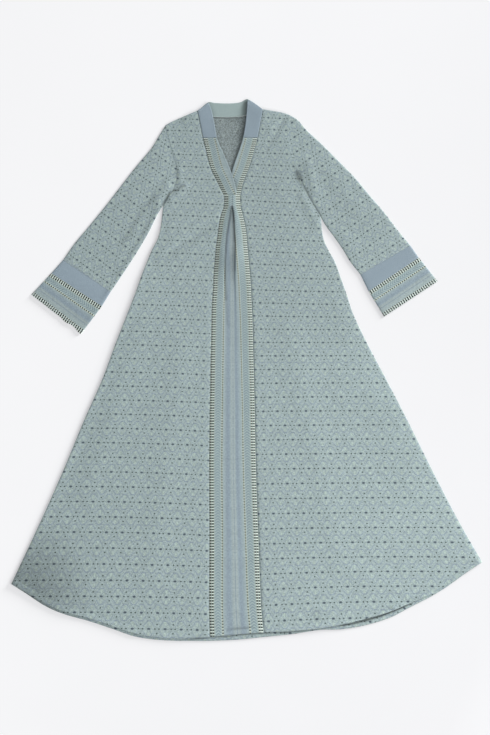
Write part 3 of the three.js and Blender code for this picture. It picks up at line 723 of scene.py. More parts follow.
def shell(name, upper, lower, uv, materials, face_kind=None):
    """A closed sheet from a grid of upper points and a grid of lower points. Rows run down the dress."""
    rows, columns = upper.shape[:2]
    index = np.arange(rows * columns).reshape(rows, columns)
    rim = np.concatenate([index[0, :-1], index[:-1, -1], index[-1, :0:-1], index[:0:-1, 0]])
    inner_rows = np.clip(np.arange(rows), 1, rows - 2)
    inner_columns = np.clip(np.arange(columns), 1, columns - 2)
    inner = index[inner_rows][:, inner_columns].ravel()
    top, under = upper.reshape(-1, 3).copy(), lower.reshape(-1, 3).copy()
    middle = (top[rim] + under[rim]) / 2
    wall = np.linalg.norm(top[rim] - under[rim], axis=1, keepdims=True)
    for layer, other in ((top, under), (under, top)):
        inward = layer[inner[rim]] - layer[rim]
        inward /= np.maximum(np.linalg.norm(inward, axis=1, keepdims=True), 1e-6)
        across = (other[rim] - layer[rim]) / np.maximum(wall, 1e-6)
        layer[rim] = layer[rim] + np.minimum(EDGE_ROLL, ROLL_SHARE * wall) * (inward + ROLL_DOWN * across)
    count = rows * columns
    a, b, c, d = index[:-1, :-1], index[1:, :-1], index[1:, 1:], index[:-1, 1:]
    face = np.stack([a, b, c, d], axis=-1).reshape(-1, 4)
    back = np.stack([d, c, b, a], axis=-1).reshape(-1, 4) + count
    near, far = rim, np.roll(rim, -1)
    mid = 2 * count + np.arange(len(rim))
    mid_far = np.roll(mid, -1)
    edge = np.concatenate([np.stack([near, far, mid_far, mid], axis=1),
        np.stack([mid, mid_far, far + count, near + count], axis=1)])
    faces = np.concatenate([face, back, edge]).tolist()
    flat_uv = uv.reshape(-1, 2)
    kinds = np.zeros(len(faces), int)
    kinds[len(face):2 * len(face)] = len(materials) - 1
    if face_kind is not None:
        kinds[:len(face)] = face_kind[:-1, :-1].ravel()
    return finish_mesh(name, np.concatenate([top, under, middle]), faces,
        np.concatenate([flat_uv, flat_uv, flat_uv[rim]]), materials, kinds)


print("a rolled edge is drawn in by", EDGE_ROLL, "mm")

# %% Tubes
END_RING = 0.04           # how near to a tube's end its second ring is, as a share of the next step
EDGE_STEPS = np.array([0, 1, 2.4])        # places of the first columns at an edge
EDGE_CLEAR = 4.5                          # and of the first of the evenly spaced ones


def close_ends(layer):
    """The same rings with one more ring close to each end, so that the smooth shading stops there."""
    first, last = mix(layer[0], layer[1], END_RING), mix(layer[-1], layer[-2], END_RING)
    return np.concatenate([layer[:1], first[None], layer[1:-1], last[None], layer[-1:]])


def tube(name, outer, inner, uv, materials):
    """A wall bent round a hollow, open at both ends, from rings of outer and inner points."""
    outer, inner, uv = close_ends(outer), close_ends(inner), close_ends(uv)
    rings, size = outer.shape[:2]
    count = rings * size
    index = np.arange(count).reshape(rings, size)
    turned = np.roll(index, -1, axis=1)
    face = np.stack([index[:-1], index[1:], turned[1:], turned[:-1]], axis=-1).reshape(-1, 4)
    back = face[:, ::-1] + count
    first = np.stack([index[0], turned[0], turned[0] + count, index[0] + count], axis=1)
    last = np.stack([turned[-1], index[-1], index[-1] + count, turned[-1] + count], axis=1)
    faces = np.concatenate([face, back, first, last])
    kinds = np.zeros(len(faces), int)
    kinds[len(face):2 * len(face)] = len(materials) - 1
    flat_uv = uv.reshape(-1, 2)
    return finish_mesh(name, np.concatenate([outer.reshape(-1, 3), inner.reshape(-1, 3)]), faces.tolist(),
        np.concatenate([flat_uv, flat_uv]), materials, kinds)


def edged(steps, first=0.012):
    """Parts from 0 to 1 that lie closer together at both ends, where an edge is rolled."""
    near = first * EDGE_STEPS
    middle = np.linspace(EDGE_CLEAR * first, 1 - EDGE_CLEAR * first, steps)
    return np.concatenate([near, middle, 1 - near[::-1]])


print("places across a narrow strip:", edged(3).round(3))

# %% [markdown]
# ## Where the pattern lies
# The jacquard is one repeat of a half-drop figure, about 37 mm wide, that is knitted into the cloth.
# It grows slowly towards the hem, its columns spread with the flare of the skirt, and its rows dip
# where the front is pulled towards the pleat. So each point of the cloth gets a UV pair that counts
# repeats: the first across the panel, and the second up it. The borders count from their seam.

# %% Cloth coordinates of the body
BORDER_REPEAT = (39.9, 0.0045)    # the border's own repeat half way down, and its growth
REPEAT = 37.35            # width of one figure half way down the dress
GROWTH = 0.0088           # how much wider it gets for each millimetre towards the hem
FAN_CENTRE = -40          # the columns spread from this line, a little faster near it than far from it
FAN_STRETCH = 1.035
FAN_EASE = 0.00012
SPREAD = table("y out",   # how far columns are drawn outward by the pleat
    (740, 0),
    (480, 0),
    (320, 12),
    (180, 17),
    (0, 20),
    (-740, 28))
ROW_DIP = table("y left right",    # slope of the rows beside the centre panel
    (740, 0.05, 0.065),
    (320, 0.055, 0.06),
    (180, 0.055, 0.035),
    (50, 0.055, 0),
    (-200, 0.06, -0.018),
    (-420, 0.06, -0.025),
    (-600, 0.035, -0.07))
DIP_REACH = {"left": 420, "right": 460}
FIGURE_AT = {"left": (-209.9, -9.3), "right": (138.4, -73.3)}     # a big dot of the figure


def repeat_at(y):
    return REPEAT - GROWTH * y


def border_repeat(y):
    return BORDER_REPEAT[0] - BORDER_REPEAT[1] * y


def figure_place(side, x, y):
    """Repeats across and rows up, before they are set to start at one of the dots."""
    sign = -1 if side == "left" else 1
    away = sign * (x - FAN_CENTRE)
    stretched = FAN_STRETCH * away - FAN_EASE * away ** 2 - column(SPREAD, "y", "out")(y)
    dip = column(ROW_DIP, "y", side)(y) * (away - away ** 2 / (2 * DIP_REACH[side])) * sign
    row = -np.log(repeat_at(y)) / GROWTH
    return sign * stretched / repeat_at(y), row + dip / repeat_at(y)


def figure_uv(side, x, y):
    """UV pairs for a front or the back, in repeats."""
    here = figure_place(side, x, y)
    dot = figure_place(side, *np.array(FIGURE_AT[side], float))
    return np.stack([here[0] - dot[0], here[1] - dot[1]], axis=-1)


print("repeat at the neck and hem:", round(repeat_at(700), 1), round(repeat_at(-720), 1))

# %% Cloth coordinates of the sleeves
SLEEVE_GRAIN = {          # which way a row of dots runs, as a slope angle, and one big dot
    "left": {"row": -36.5, "dot": (-323, 507)},
    "right": {"row": 34.8, "dot": (306, 491)},
}
SLEEVE_REPEAT = (33.6, 35.6)      # across and along


def sleeve_uv(side, x, y):
    angle = math.radians(SLEEVE_GRAIN[side]["row"])
    dx, dy = x - SLEEVE_GRAIN[side]["dot"][0], y - SLEEVE_GRAIN[side]["dot"][1]
    across = dx * math.cos(angle) + dy * math.sin(angle)
    up = -dx * math.sin(angle) + dy * math.cos(angle)
    return np.stack([across / SLEEVE_REPEAT[0], up / SLEEVE_REPEAT[1]], axis=-1)


print("repeats at the left shoulder:", sleeve_uv("left", *SHOULDER_TIP["left"]).round(2))

# %% [markdown]
# ## The yarns
# All the cloth is a matt polyester and viscose knit. A knit is soft to the light: it is rough, has
# almost no shine, and its fine hairs catch a little light at the edges, which is what sheen does.
# The stitches are small Vs in rows. They could be a mesh, but there would be millions of them, so they
# are a bump on the cloth's own coordinates, along with a slight change of tone from yarn to yarn.

# %% Stitches of a knit
YARN_ROUGHNESS = 0.92
YARN_GLOSS = 0.2
YARN_SHEEN = 0.12
STITCH_RELIEF = 0.6
LEG_SLANT = 1.1           # how steeply the two legs of a stitch lean together
LEG_GROOVE = 1.6          # how deep the groove between two columns of stitches is
DARKER_PLACES = {                # where the cloth is made darker: place, reach across and up, and how much
    "shoulders": ((-40, 600), (330, 300), 0.03),
    # Painted shade: the cloth is darker towards the left hem corner.
    "left hem corner painted shade": ((-640, -600), (260, 240), 0.36),
}
CLOUDS = {"jacquard": (0.02, 9.0), "border": (0.015, 14.0), "jersey": (0.02, 16.0)}    # amount and scale
FADE = {"To Min": 1.0, "To Max": 0.0}     # full up to the first distance, and nothing past the second


def stitch_bump(tree, wale, course, depth):
    """The normal of rows of V stitches. wale and course count stitches, and depth is in millimetres."""
    part = add(tree, "ShaderNodeMath", [wale], operation="FRACT")
    side = add(tree, "ShaderNodeMath", [part, 0.5], operation="SUBTRACT")
    leg = add(tree, "ShaderNodeMath", [side], operation="ABSOLUTE")
    slant = add(tree, "ShaderNodeMath", [leg, -LEG_SLANT, course], operation="MULTIPLY_ADD")
    turn = add(tree, "ShaderNodeMath", [slant, 2 * math.pi], operation="MULTIPLY")
    loop = add(tree, "ShaderNodeMath", [turn], operation="COSINE")
    groove = add(tree, "ShaderNodeMath", [leg, -LEG_GROOVE, loop], operation="MULTIPLY_ADD")
    return add(tree, "ShaderNodeBump", {"Strength": STITCH_RELIEF, "Distance": depth / 1000,
        "Height": groove})


def yarn_surface(material, tree, colour, normal):
    """A soft matt surface of that colour, with the painted shade and highlights of its creases."""
    # Painted shade scales the colour down, and a painted highlight, below 0, scales it up.
    shade = add(tree, "ShaderNodeAttribute", out="Fac", attribute_name="shade")
    left = add(tree, "ShaderNodeMath", [1.0, shade], operation="SUBTRACT")
    colour = add(tree, "ShaderNodeVectorMath", {"Vector": colour, "Scale": left}, operation="SCALE")
    surface = add(tree, "ShaderNodeBsdfPrincipled", {"Base Color": colour, "Roughness": YARN_ROUGHNESS,
        "Specular IOR Level": YARN_GLOSS, "Sheen Weight": YARN_SHEEN, "Sheen Roughness": 0.6,
        "Normal": normal})
    add(tree, "ShaderNodeOutputMaterial", [surface])
    return material


print("yarn roughness:", YARN_ROUGHNESS, "sheen:", YARN_SHEEN)


# %% What all the knits share
def cloth_coordinates(tree):
    """The two counts of the UV pair, one across the piece and one along it."""
    counts = add(tree, "ShaderNodeSeparateXYZ", [add(tree, "ShaderNodeUVMap", uv_map="cloth")]).node.outputs
    return counts[0], counts[1]


def stitches(tree, count, per_repeat):
    """The middle of the stitch that a point is in, in repeats."""
    stitch = add(tree, "ShaderNodeMath", [count, per_repeat], operation="MULTIPLY")
    whole = add(tree, "ShaderNodeMath", [stitch], operation="ROUND")
    return add(tree, "ShaderNodeMath", [whole, 1 / per_repeat], operation="MULTIPLY")


def uneven(tree, colour, amount, scale):
    """Slow changes of tone over the cloth, as from handling, and the darker places, one of painted shade."""
    place = add(tree, "ShaderNodeTexCoord", out="Object")
    cloud = add(tree, "ShaderNodeTexNoise", {"Vector": place, "Scale": scale, "Detail": 2.0})
    tone = add(tree, "ShaderNodeMath", [cloud, 2 * amount, 1 - amount], operation="MULTIPLY_ADD")
    # Each darker place: a little round the shoulders, and painted shade at the left hem corner.
    for spot, reach, deeper in DARKER_PLACES.values():
        away = add(tree, "ShaderNodeVectorMath", [place, metres([*spot, 0])], operation="SUBTRACT")
        parts = add(tree, "ShaderNodeVectorMath", [away, metres([*reach, 1e9])], operation="DIVIDE")
        far = add(tree, "ShaderNodeVectorMath", [parts], out="Value", operation="LENGTH")
        near = add(tree, "ShaderNodeMapRange", {"Value": far, "From Min": 0.2, "From Max": 1.0, **FADE},
            interpolation_type="SMOOTHSTEP")
        share = add(tree, "ShaderNodeMath", [near, -deeper, 1.0], operation="MULTIPLY_ADD")
        tone = add(tree, "ShaderNodeMath", [tone, share], operation="MULTIPLY")
    return add(tree, "ShaderNodeVectorMath", {"Vector": colour, "Scale": tone}, operation="SCALE")


# The darker places: a little round the shoulders, and painted shade at the left hem corner.
print("places with a deeper dye:", *DARKER_PLACES)

# %% [markdown]
# ## Figured jacquard knit
# The figure is charted with short strokes of yarn in counts of repeats. Rows of dots stand a
# repeat apart, and every other row is moved by half a repeat. A big dot is a short blue-grey bar.
# Midway between two of them four single dark stitches stand in a rhombus. Six pale green leaves lie
# round each big dot, and a soft blue-grey arch with a flat top stands above and below them. The chart
# is folded about the big dot, so each line of it stands for its mirror images too.

# %% The figure's chart
WALES = 32.0              # stitches across one repeat
COURSES = 36.0            # stitches up one repeat
FIGURE = [                # yarn, from, to, half width, softness, how much of it shows
    ("leaf", (0.0, 0.26), (0.0, 0.41), 0.06, 0.07, 0.62),
    ("leaf", (0.19, 0.11), (0.18, 0.18), 0.045, 0.05, 0.5),
    ("arch", (0.0, 0.5), (0.11, 0.5), 0.03, 0.05, 0.95),
    ("arch", (0.39, 0.5), (0.5, 0.5), 0.03, 0.05, 0.95),
    ("arch", (0.11, 0.5), (0.26, 0.27), 0.026, 0.05, 0.75),
    ("arch", (0.26, 0.27), (0.34, 0.15), 0.02, 0.05, 0.4),
    ("dark", (0.0, 0.0), (0.5, 0.0), 0.01, 0.02, 0.12),
    ("dark", (0.375, 0.0), (0.375, 0.0), 0.044, 0.02, 1.0),
    ("dark", (0.5, 0.275), (0.5, 0.275), 0.044, 0.02, 0.95),
    ("bar", (0.0, 0.0), (0.035, 0.0), 0.06, 0.025, 0.9),
]
FIGURE_YARNS = {
    "ground": "#9CACAC",
    "leaf": "#ADBEB2",
    "arch": "#8593A0",
    "dark": "#35433F",
    "bar": "#3C4956",
}
WRONG_SIDE_YARNS = {
    "ground": "#8A9696",
    "leaf": "#929D98",
    "arch": "#818D90",
    "dark": "#616B6A",
    "bar": "#616B6A",
}
# How much of the figure shows, how much the tone changes from stitch to stitch, and how deep the
# stitches are in millimetres. The wrong side is a melange: all the yarns float there.
RIGHT_SIDE = {"shown": 1.0, "flecks": 0.14, "bump": 0.12}
WRONG_SIDE = {"shown": 0.6, "flecks": 0.32, "bump": 0.3}
print("strokes in the chart:", len(FIGURE))


# %% Parts of the figure
def stroke(tree, here, start, end, half_width, softness):
    """1 on a short straight stroke of yarn, and 0 past its soft edge."""
    start, end = Vector((*start, 0)), Vector((*end, 0))
    run = end - start
    away = add(tree, "ShaderNodeVectorMath", [here, start], operation="SUBTRACT")
    if run.length > 0:
        part = add(tree, "ShaderNodeVectorMath", [away, run / run.length_squared], out="Value",
            operation="DOT_PRODUCT")
        part = add(tree, "ShaderNodeMath", [part, 1.0], operation="MULTIPLY", use_clamp=True)
        walk = add(tree, "ShaderNodeVectorMath", {"Vector": run, "Scale": part}, operation="SCALE")
        away = add(tree, "ShaderNodeVectorMath", [away, walk], operation="SUBTRACT")
    far = add(tree, "ShaderNodeVectorMath", [away], out="Value", operation="LENGTH")
    return add(tree, "ShaderNodeMapRange", {"Value": far, "From Min": half_width - softness / 2,
        "From Max": half_width + softness / 2, **FADE}, interpolation_type="SMOOTHSTEP")


def fleck(tree, across, up, cells, amount):
    """A tone that changes at random from one cell of the knit to the next."""
    cell = add(tree, "ShaderNodeCombineXYZ", [stitches(tree, across, cells), stitches(tree, up, cells)])
    chance = add(tree, "ShaderNodeTexWhiteNoise", {"Vector": cell})
    return add(tree, "ShaderNodeMath", [chance, 2 * amount, 1 - amount], operation="MULTIPLY_ADD")


def folded(tree, count):
    """Distance from the nearest whole number, and that number."""
    whole = add(tree, "ShaderNodeMath", [count], operation="ROUND")
    away = add(tree, "ShaderNodeMath", [count, whole], operation="SUBTRACT")
    return add(tree, "ShaderNodeMath", [away], operation="ABSOLUTE"), whole


print("a stitch of the jacquard is", round(REPEAT / WALES, 2), "mm wide")


# %% The jacquard, right side and wrong side
def figured_knit(name, yarns, shown, flecks, bump):
    """The jacquard on any side of the cloth, with its yarns and how much of the figure shows."""
    material, tree = new_material(name)
    across, up = cloth_coordinates(tree)
    level, row = folded(tree, stitches(tree, up, COURSES))
    pairs = add(tree, "ShaderNodeMath", [row, 0.5], operation="MULTIPLY")
    drop = add(tree, "ShaderNodeMath", [pairs], operation="FRACT")
    moved = add(tree, "ShaderNodeMath", [stitches(tree, across, WALES), drop], operation="SUBTRACT")
    beside, _ = folded(tree, moved)
    here = add(tree, "ShaderNodeCombineXYZ", [beside, level])
    colour = linear(yarns["ground"])
    for yarn, start, end, half_width, softness, share in FIGURE:
        cover = stroke(tree, here, start, end, half_width, softness)
        cover = add(tree, "ShaderNodeMath", [cover, share * shown], operation="MULTIPLY")
        colour = add(tree, "ShaderNodeMix", {"Factor_Float": cover, "A_Color": colour,
            "B_Color": linear(yarns[yarn])}, out=2, data_type="RGBA")
    fine, coarse = fleck(tree, across, up, WALES, flecks), fleck(tree, across, up, WALES / 2, flecks)
    tone = add(tree, "ShaderNodeMath", [fine, coarse], operation="MULTIPLY")
    colour = add(tree, "ShaderNodeVectorMath", {"Vector": colour, "Scale": tone}, operation="SCALE")
    colour = uneven(tree, colour, *CLOUDS["jacquard"])
    wales = add(tree, "ShaderNodeMath", [across, WALES], operation="MULTIPLY")
    courses = add(tree, "ShaderNodeMath", [up, COURSES], operation="MULTIPLY")
    return yarn_surface(material, tree, colour, stitch_bump(tree, wales, courses, bump))


jacquard = figured_knit("figured_jacquard_knit", FIGURE_YARNS, **RIGHT_SIDE)
wrong_side = figured_knit("jacquard_wrong_side", WRONG_SIDE_YARNS, **WRONG_SIDE)
print("knits:", jacquard.name, wrong_side.name)

# %% [markdown]
# ## Border jacquard
# The border runs the length of the centre panel, down both sides of the neck and round both cuffs,
# always with its dashed edge at the outer seam. From there inward it has two columns of short dark
# dashes on cream, a pale band with fine chevrons, one dotted column, and a soft blue stripe. On the
# centre panel the two halves mirror each other about a thin dark line. Its first UV count is the
# distance from the outer seam in repeats, and the second runs along the seam.

# %% The border's stripes
DASHES_PER_REPEAT = 5.45
CUFF_BORDER = 2.27        # width of the border on a cuff, where the far edge is dashed too
BORDER_STOPS = [          # distance from the outer seam in repeats, and the colour from there on
    (0.0, "#9CADA7"),
    (0.33, "#9CADA7"),
    (0.37, "#A8BAB8"),
    (0.74, "#A7B8B6"),
    (0.80, "#A0B0AD"),
    (0.92, "#9BABAC"),
    (1.06, "#93A3A9"),
    (1.18, "#8C9CA5"),
    (1.32, "#8C9CA5"),
    (1.42, "#97A6A9"),
    (1.53, "#9EACAB"),
    (1.565, "#9AA8AB"),
    (1.59, "#82929A"),
    (1.63, "#97A6AA"),
    (1.75, "#9FAEAE"),
    (2.27, "#9AABAA"),
]
BORDER_WIDTH = BORDER_STOPS[-1][0]
BORDER_YARNS = {
    "cream": "#E7F3E8",
    "dash": "#060706",
    "bed": "#D6DFCC",
    "bead": "#0E120E",
    "chevron": "#6B7E8A",
}
# Columns in the order they lie over each other: yarn, place, the half widths where it starts and ends
# to fade, and the same for its half length in steps of the dashes, or None for one that never stops.
BORDER_COLUMNS = [
    ("cream", 0.075, (0.044, 0.06), None),
    ("cream", 0.23, (0.044, 0.06), None),
    ("dash", 0.075, (0.046, 0.062), (0.29, 0.34)),
    ("dash", 0.23, (0.046, 0.062), (0.29, 0.34)),
    ("bed", 0.83, (0.03, 0.05), None),
    ("bead", 0.83, (0.03, 0.05), (0.24, 0.34)),
]
EDGE_YARNS = ("cream", "dash")    # these stand along both edges of a cuff's border
CHEVRON = {"place": 0.55, "fade": (0.16, 0.2), "steep": 5.0, "shown": 0.4}
BORDER_FLECK = 0.1
BORDER_RELIEF = 0.12      # depth of its stitches in millimetres
print("a dash every", round(border_repeat(0) / DASHES_PER_REPEAT, 1), "mm")


# %% The border's knit
def border_knit(name):
    material, tree = new_material(name)
    across, along_seam = cloth_coordinates(tree)
    ramp_place = add(tree, "ShaderNodeMath", [across, BORDER_WIDTH], operation="DIVIDE")
    colour = add(tree, "ShaderNodeValToRGB", [ramp_place])
    ramp = colour.node.color_ramp
    for place, tone in BORDER_STOPS[1:-1]:
        ramp.elements.new(place / BORDER_WIDTH).color = linear(tone)
    ramp.elements[0].color = linear(BORDER_STOPS[0][1])
    ramp.elements[-1].color = linear(BORDER_STOPS[-1][1])

    step = add(tree, "ShaderNodeMath", [along_seam, DASHES_PER_REPEAT], operation="MULTIPLY")
    from_dash, _ = folded(tree, step)
    far_edge = add(tree, "ShaderNodeMath", [CUFF_BORDER, across], operation="SUBTRACT")
    edge = add(tree, "ShaderNodeMath", [across, far_edge], operation="MINIMUM")
    for yarn, place, wide, long in BORDER_COLUMNS:
        from_seam = edge if yarn in EDGE_YARNS else across
        offset = add(tree, "ShaderNodeMath", [from_seam, place], operation="SUBTRACT")
        offset = add(tree, "ShaderNodeMath", [offset], operation="ABSOLUTE")
        cover = add(tree, "ShaderNodeMapRange", {"Value": offset, "From Min": wide[0], "From Max": wide[1],
            **FADE}, interpolation_type="SMOOTHSTEP")
        if long:
            part = add(tree, "ShaderNodeMapRange", {"Value": from_dash, "From Min": long[0],
                "From Max": long[1], **FADE}, interpolation_type="SMOOTHSTEP")
            cover = add(tree, "ShaderNodeMath", [cover, part], operation="MULTIPLY")
        colour = add(tree, "ShaderNodeMix", {"Factor_Float": cover, "A_Color": colour,
            "B_Color": linear(BORDER_YARNS[yarn])}, out=2, data_type="RGBA")

    tick = add(tree, "ShaderNodeMath", [across, CHEVRON["place"]], operation="SUBTRACT")
    tick = add(tree, "ShaderNodeMath", [tick], operation="ABSOLUTE")
    in_band = add(tree, "ShaderNodeMapRange", {"Value": tick, "From Min": CHEVRON["fade"][0],
        "From Max": CHEVRON["fade"][1], **FADE}, interpolation_type="SMOOTHSTEP")
    slope = add(tree, "ShaderNodeMath", [tick, CHEVRON["steep"], step], operation="MULTIPLY_ADD")
    turn = add(tree, "ShaderNodeMath", [slope, 2 * math.pi], operation="MULTIPLY")
    wave = add(tree, "ShaderNodeMath", [turn], operation="COSINE")
    wave = add(tree, "ShaderNodeMath", [wave, CHEVRON["shown"], CHEVRON["shown"]], operation="MULTIPLY_ADD")
    cover = add(tree, "ShaderNodeMath", [wave, in_band], operation="MULTIPLY")
    colour = add(tree, "ShaderNodeMix", {"Factor_Float": cover, "A_Color": colour,
        "B_Color": linear(BORDER_YARNS["chevron"])}, out=2, data_type="RGBA")
    tone = fleck(tree, across, along_seam, WALES / 2, BORDER_FLECK)
    colour = add(tree, "ShaderNodeVectorMath", {"Vector": colour, "Scale": tone}, operation="SCALE")
    colour = uneven(tree, colour, *CLOUDS["border"])
    wales = add(tree, "ShaderNodeMath", [across, WALES], operation="MULTIPLY")
    courses = add(tree, "ShaderNodeMath", [along_seam, COURSES], operation="MULTIPLY")
    return yarn_surface(material, tree, colour, stitch_bump(tree, wales, courses, BORDER_RELIEF))


border = border_knit("striped_border_jacquard")
print("border:", border.name)


# %% [markdown]
# ## Plain knits and thread
# The plain bands are a smooth single jersey: the same yarn in one colour, with finer stitches. Its
# UV pair counts centimetres. Sewing thread is a twisted polyester, a little shinier than the cloth.

# %% Plain knits
JERSEY = 6.0              # stitches to a centimetre, drawn coarser than real ones so that they show
JERSEY_RELIEF = 0.2
JERSEY_STREAK = 0.6
TWIST = 900.0             # how close the turns of the thread are
TWIST_SHADE = 0.25


def plain_knit(name, tone, streak):
    """A jersey in one colour, with some stitches towards a second tone."""
    material, tree = new_material(name)
    across, up = cloth_coordinates(tree)
    wale, course = stitches(tree, across, JERSEY), stitches(tree, up, JERSEY)
    cell = add(tree, "ShaderNodeCombineXYZ", [wale, course])
    chance = add(tree, "ShaderNodeTexWhiteNoise", {"Vector": cell})
    share = add(tree, "ShaderNodeMath", [chance, JERSEY_STREAK], operation="MULTIPLY")
    colour = add(tree, "ShaderNodeMix", {"Factor_Float": share, "A_Color": linear(tone),
        "B_Color": linear(streak)}, out=2, data_type="RGBA")
    colour = uneven(tree, colour, *CLOUDS["jersey"])
    wales = add(tree, "ShaderNodeMath", [across, JERSEY], operation="MULTIPLY")
    courses = add(tree, "ShaderNodeMath", [up, JERSEY], operation="MULTIPLY")
    return yarn_surface(material, tree, colour, stitch_bump(tree, wales, courses, JERSEY_RELIEF))


def thread(name, tone, groove):
    """A twisted thread, with painted shade in the grooves of its twist."""
    material, tree = new_material(name)
    place = add(tree, "ShaderNodeTexCoord", out="Object")
    twist = add(tree, "ShaderNodeTexWave", {"Vector": place, "Scale": TWIST, "Distortion": 1.0})
    # Painted shade: the groove colour is mixed in along the grooves of the twist.
    share = add(tree, "ShaderNodeMath", [twist, TWIST_SHADE], operation="MULTIPLY")
    colour = add(tree, "ShaderNodeMix", {"Factor_Float": share, "A_Color": linear(tone),
        "B_Color": linear(groove)}, out=2, data_type="RGBA")
    normal = add(tree, "ShaderNodeBump", {"Strength": 0.3, "Distance": 0.0001, "Height": twist})
    return yarn_surface(material, tree, colour, normal)


blue_jersey = plain_knit("plain_blue_jersey", "#94A4AE", "#8B9CA7")
pale_jersey = plain_knit("pale_green_jersey", "#9FB1AF", "#98A9A9")
# Each thread's second colour is the painted shade in the grooves of its twist.
tonal_thread = thread("tonal_sewing_thread", "#8A9A9C", "#5F6E72")
pale_thread = thread("pale_sewing_thread", "#B9C8C4", "#96A5A2")
print("plain knits:", blue_jersey.name, pale_jersey.name, tonal_thread.name, pale_thread.name)

# %% [markdown]
# ## The back
# The back is one flat piece that lies on the table with its wrong side up. It shows inside the V of
# the neck, and as a narrow strip below the front hem, where its own hem is turned up and so shows the
# right side of the cloth again. A flat grid between the two side seams is enough for it.

# %% Back
BACK_COLUMNS = 120
BACK_ROW_STEP = 3         # the back takes every third row, and all the last ones at its hem
HEM_ROWS = 10
EDGE_POINTS = 400         # points of its top and foot, which are only looked up
BACK_HEM = 19             # depth of the back's turned-up hem
pieces = {}


def back():
    start, end = outer_edge("left"), outer_edge("right")
    hem_from = len(start) - HEM_ROWS
    keep = np.concatenate([np.arange(0, hem_from, BACK_ROW_STEP), np.arange(hem_from, len(start))])
    neck = np.stack([BACK_BAND["x"], BACK_BAND["seam"] - SEAM_GAP], axis=1)
    top = joined(shoulder_line("left", 30), np.array([neck[0]]), neck, shoulder_line("right", 30)[::-1])
    top = spaced(top, np.linspace(0, 1, EDGE_POINTS))
    foot_x = np.linspace(HEM_CORNER["left"][0], HEM_CORNER["right"][0], EDGE_POINTS)
    foot = np.stack([foot_x, hem_back(foot_x)], axis=1)
    plan = patch(start[keep], end[keep], top, foot, np.linspace(0, 1, BACK_COLUMNS))
    x, y = plan[..., 0], plan[..., 1]
    turned = y < hem_back(x) + BACK_HEM
    lift = edge_lift(x, y)
    upper = np.dstack([x, y, BACK_WALL + lift])
    lower = np.dstack([x, y, lift])
    return shell("back_cloth", upper, lower, figure_uv("left", x, y), [wrong_side, jacquard],
        turned.astype(int))


pieces["back_panel"] = back()
print("back:", len(pieces["back_panel"].data.polygons), "faces")

# %% [markdown]
# ## The fronts
# Each front runs from the shoulder to the hem, between the armhole and side seam on one side and the
# neckband and centre panel on the other. It lies on the back, so it takes the back's height and adds
# the folds. Its hem is turned up, which makes the last 15 mm a little thicker and leaves a soft step.

# %% Fronts
FRONT_COLUMNS = 56
SHOULDER_POINTS = 60      # points of a front's top, and of its foot, which are only looked up
HEM_POINTS = 200
UP_THE_NECK = 1e3         # a level for all the rows beside the neckband, which have no hem
SEAM_DIP = 0.4            # how far a seam pulls the cloth down beside it
SEAM_REACH = 3.5


def seam_dip(plan, columns):
    """How much lower the cloth's face lies near the seams at those columns."""
    dips = [np.exp(-(np.linalg.norm(plan - plan[:, [i]], axis=2) / SEAM_REACH) ** 2) for i in columns]
    return SEAM_DIP * np.clip(sum(dips), 0, 1)


def front(side):
    outer, inner = outer_edge(side), joined(band_seam(side), centre_seam(side))
    shoulder = shoulder_line(side, SHOULDER_POINTS)
    foot_x = np.linspace(outer[-1, 0], inner[-1, 0], HEM_POINTS)
    foot = np.stack([foot_x, hem_front(foot_x)], axis=1)
    across = edged(FRONT_COLUMNS)
    if side == "left":
        plan = patch(outer, inner, shoulder, foot, across)
    else:
        plan = patch(inner, outer, shoulder[::-1], foot[::-1], across)
    x, y = plan[..., 0], plan[..., 1]
    bed = front_bed(x, y)
    row_level = np.concatenate([np.full(len(outer) - len(levels), UP_THE_NECK), levels])[:, None]
    wall = FRONT_WALL + hem_extra(row_level)
    upper = np.dstack([x, y, bed + wall - seam_dip(plan, (-1,) if side == "left" else (0,))])
    lower = np.dstack([x, y, bed])
    return shell(f"{side}_front_cloth", upper, lower, figure_uv(side, x, y), [jacquard, wrong_side])


for side in ("left", "right"):
    pieces[f"front_panel_{side}"] = front(side)
    print(side, "front:", len(pieces[f"front_panel_{side}"].data.polygons), "faces")

# %% [markdown]
# ## The centre panel and its inverted pleat
# The panel is folded in at both sides of its middle, so that under the V two edges meet and a third
# layer lies below them. Further down the pleat opens, and at the hem the panel is flat. A sheet can't
# be folded by moving its points up and down, so each level is drawn as a section instead: a flat
# stretch, a half round where the cloth turns under, and the middle lying below. The wall is then
# laid half to each side of that line.

# %% One level of the pleat
RAMP_STEPS = 6            # points from the seam up to the top of the fold
FLAT_STEPS = 3            # points from there to where it turns
ARC_STEPS = 9             # points round a turn
REST_STEPS = 5            # points from the pleat's foot to the middle
FOLD_POINT = RAMP_STEPS + FLAT_STEPS + ARC_STEPS - 1      # where the cloth has turned under


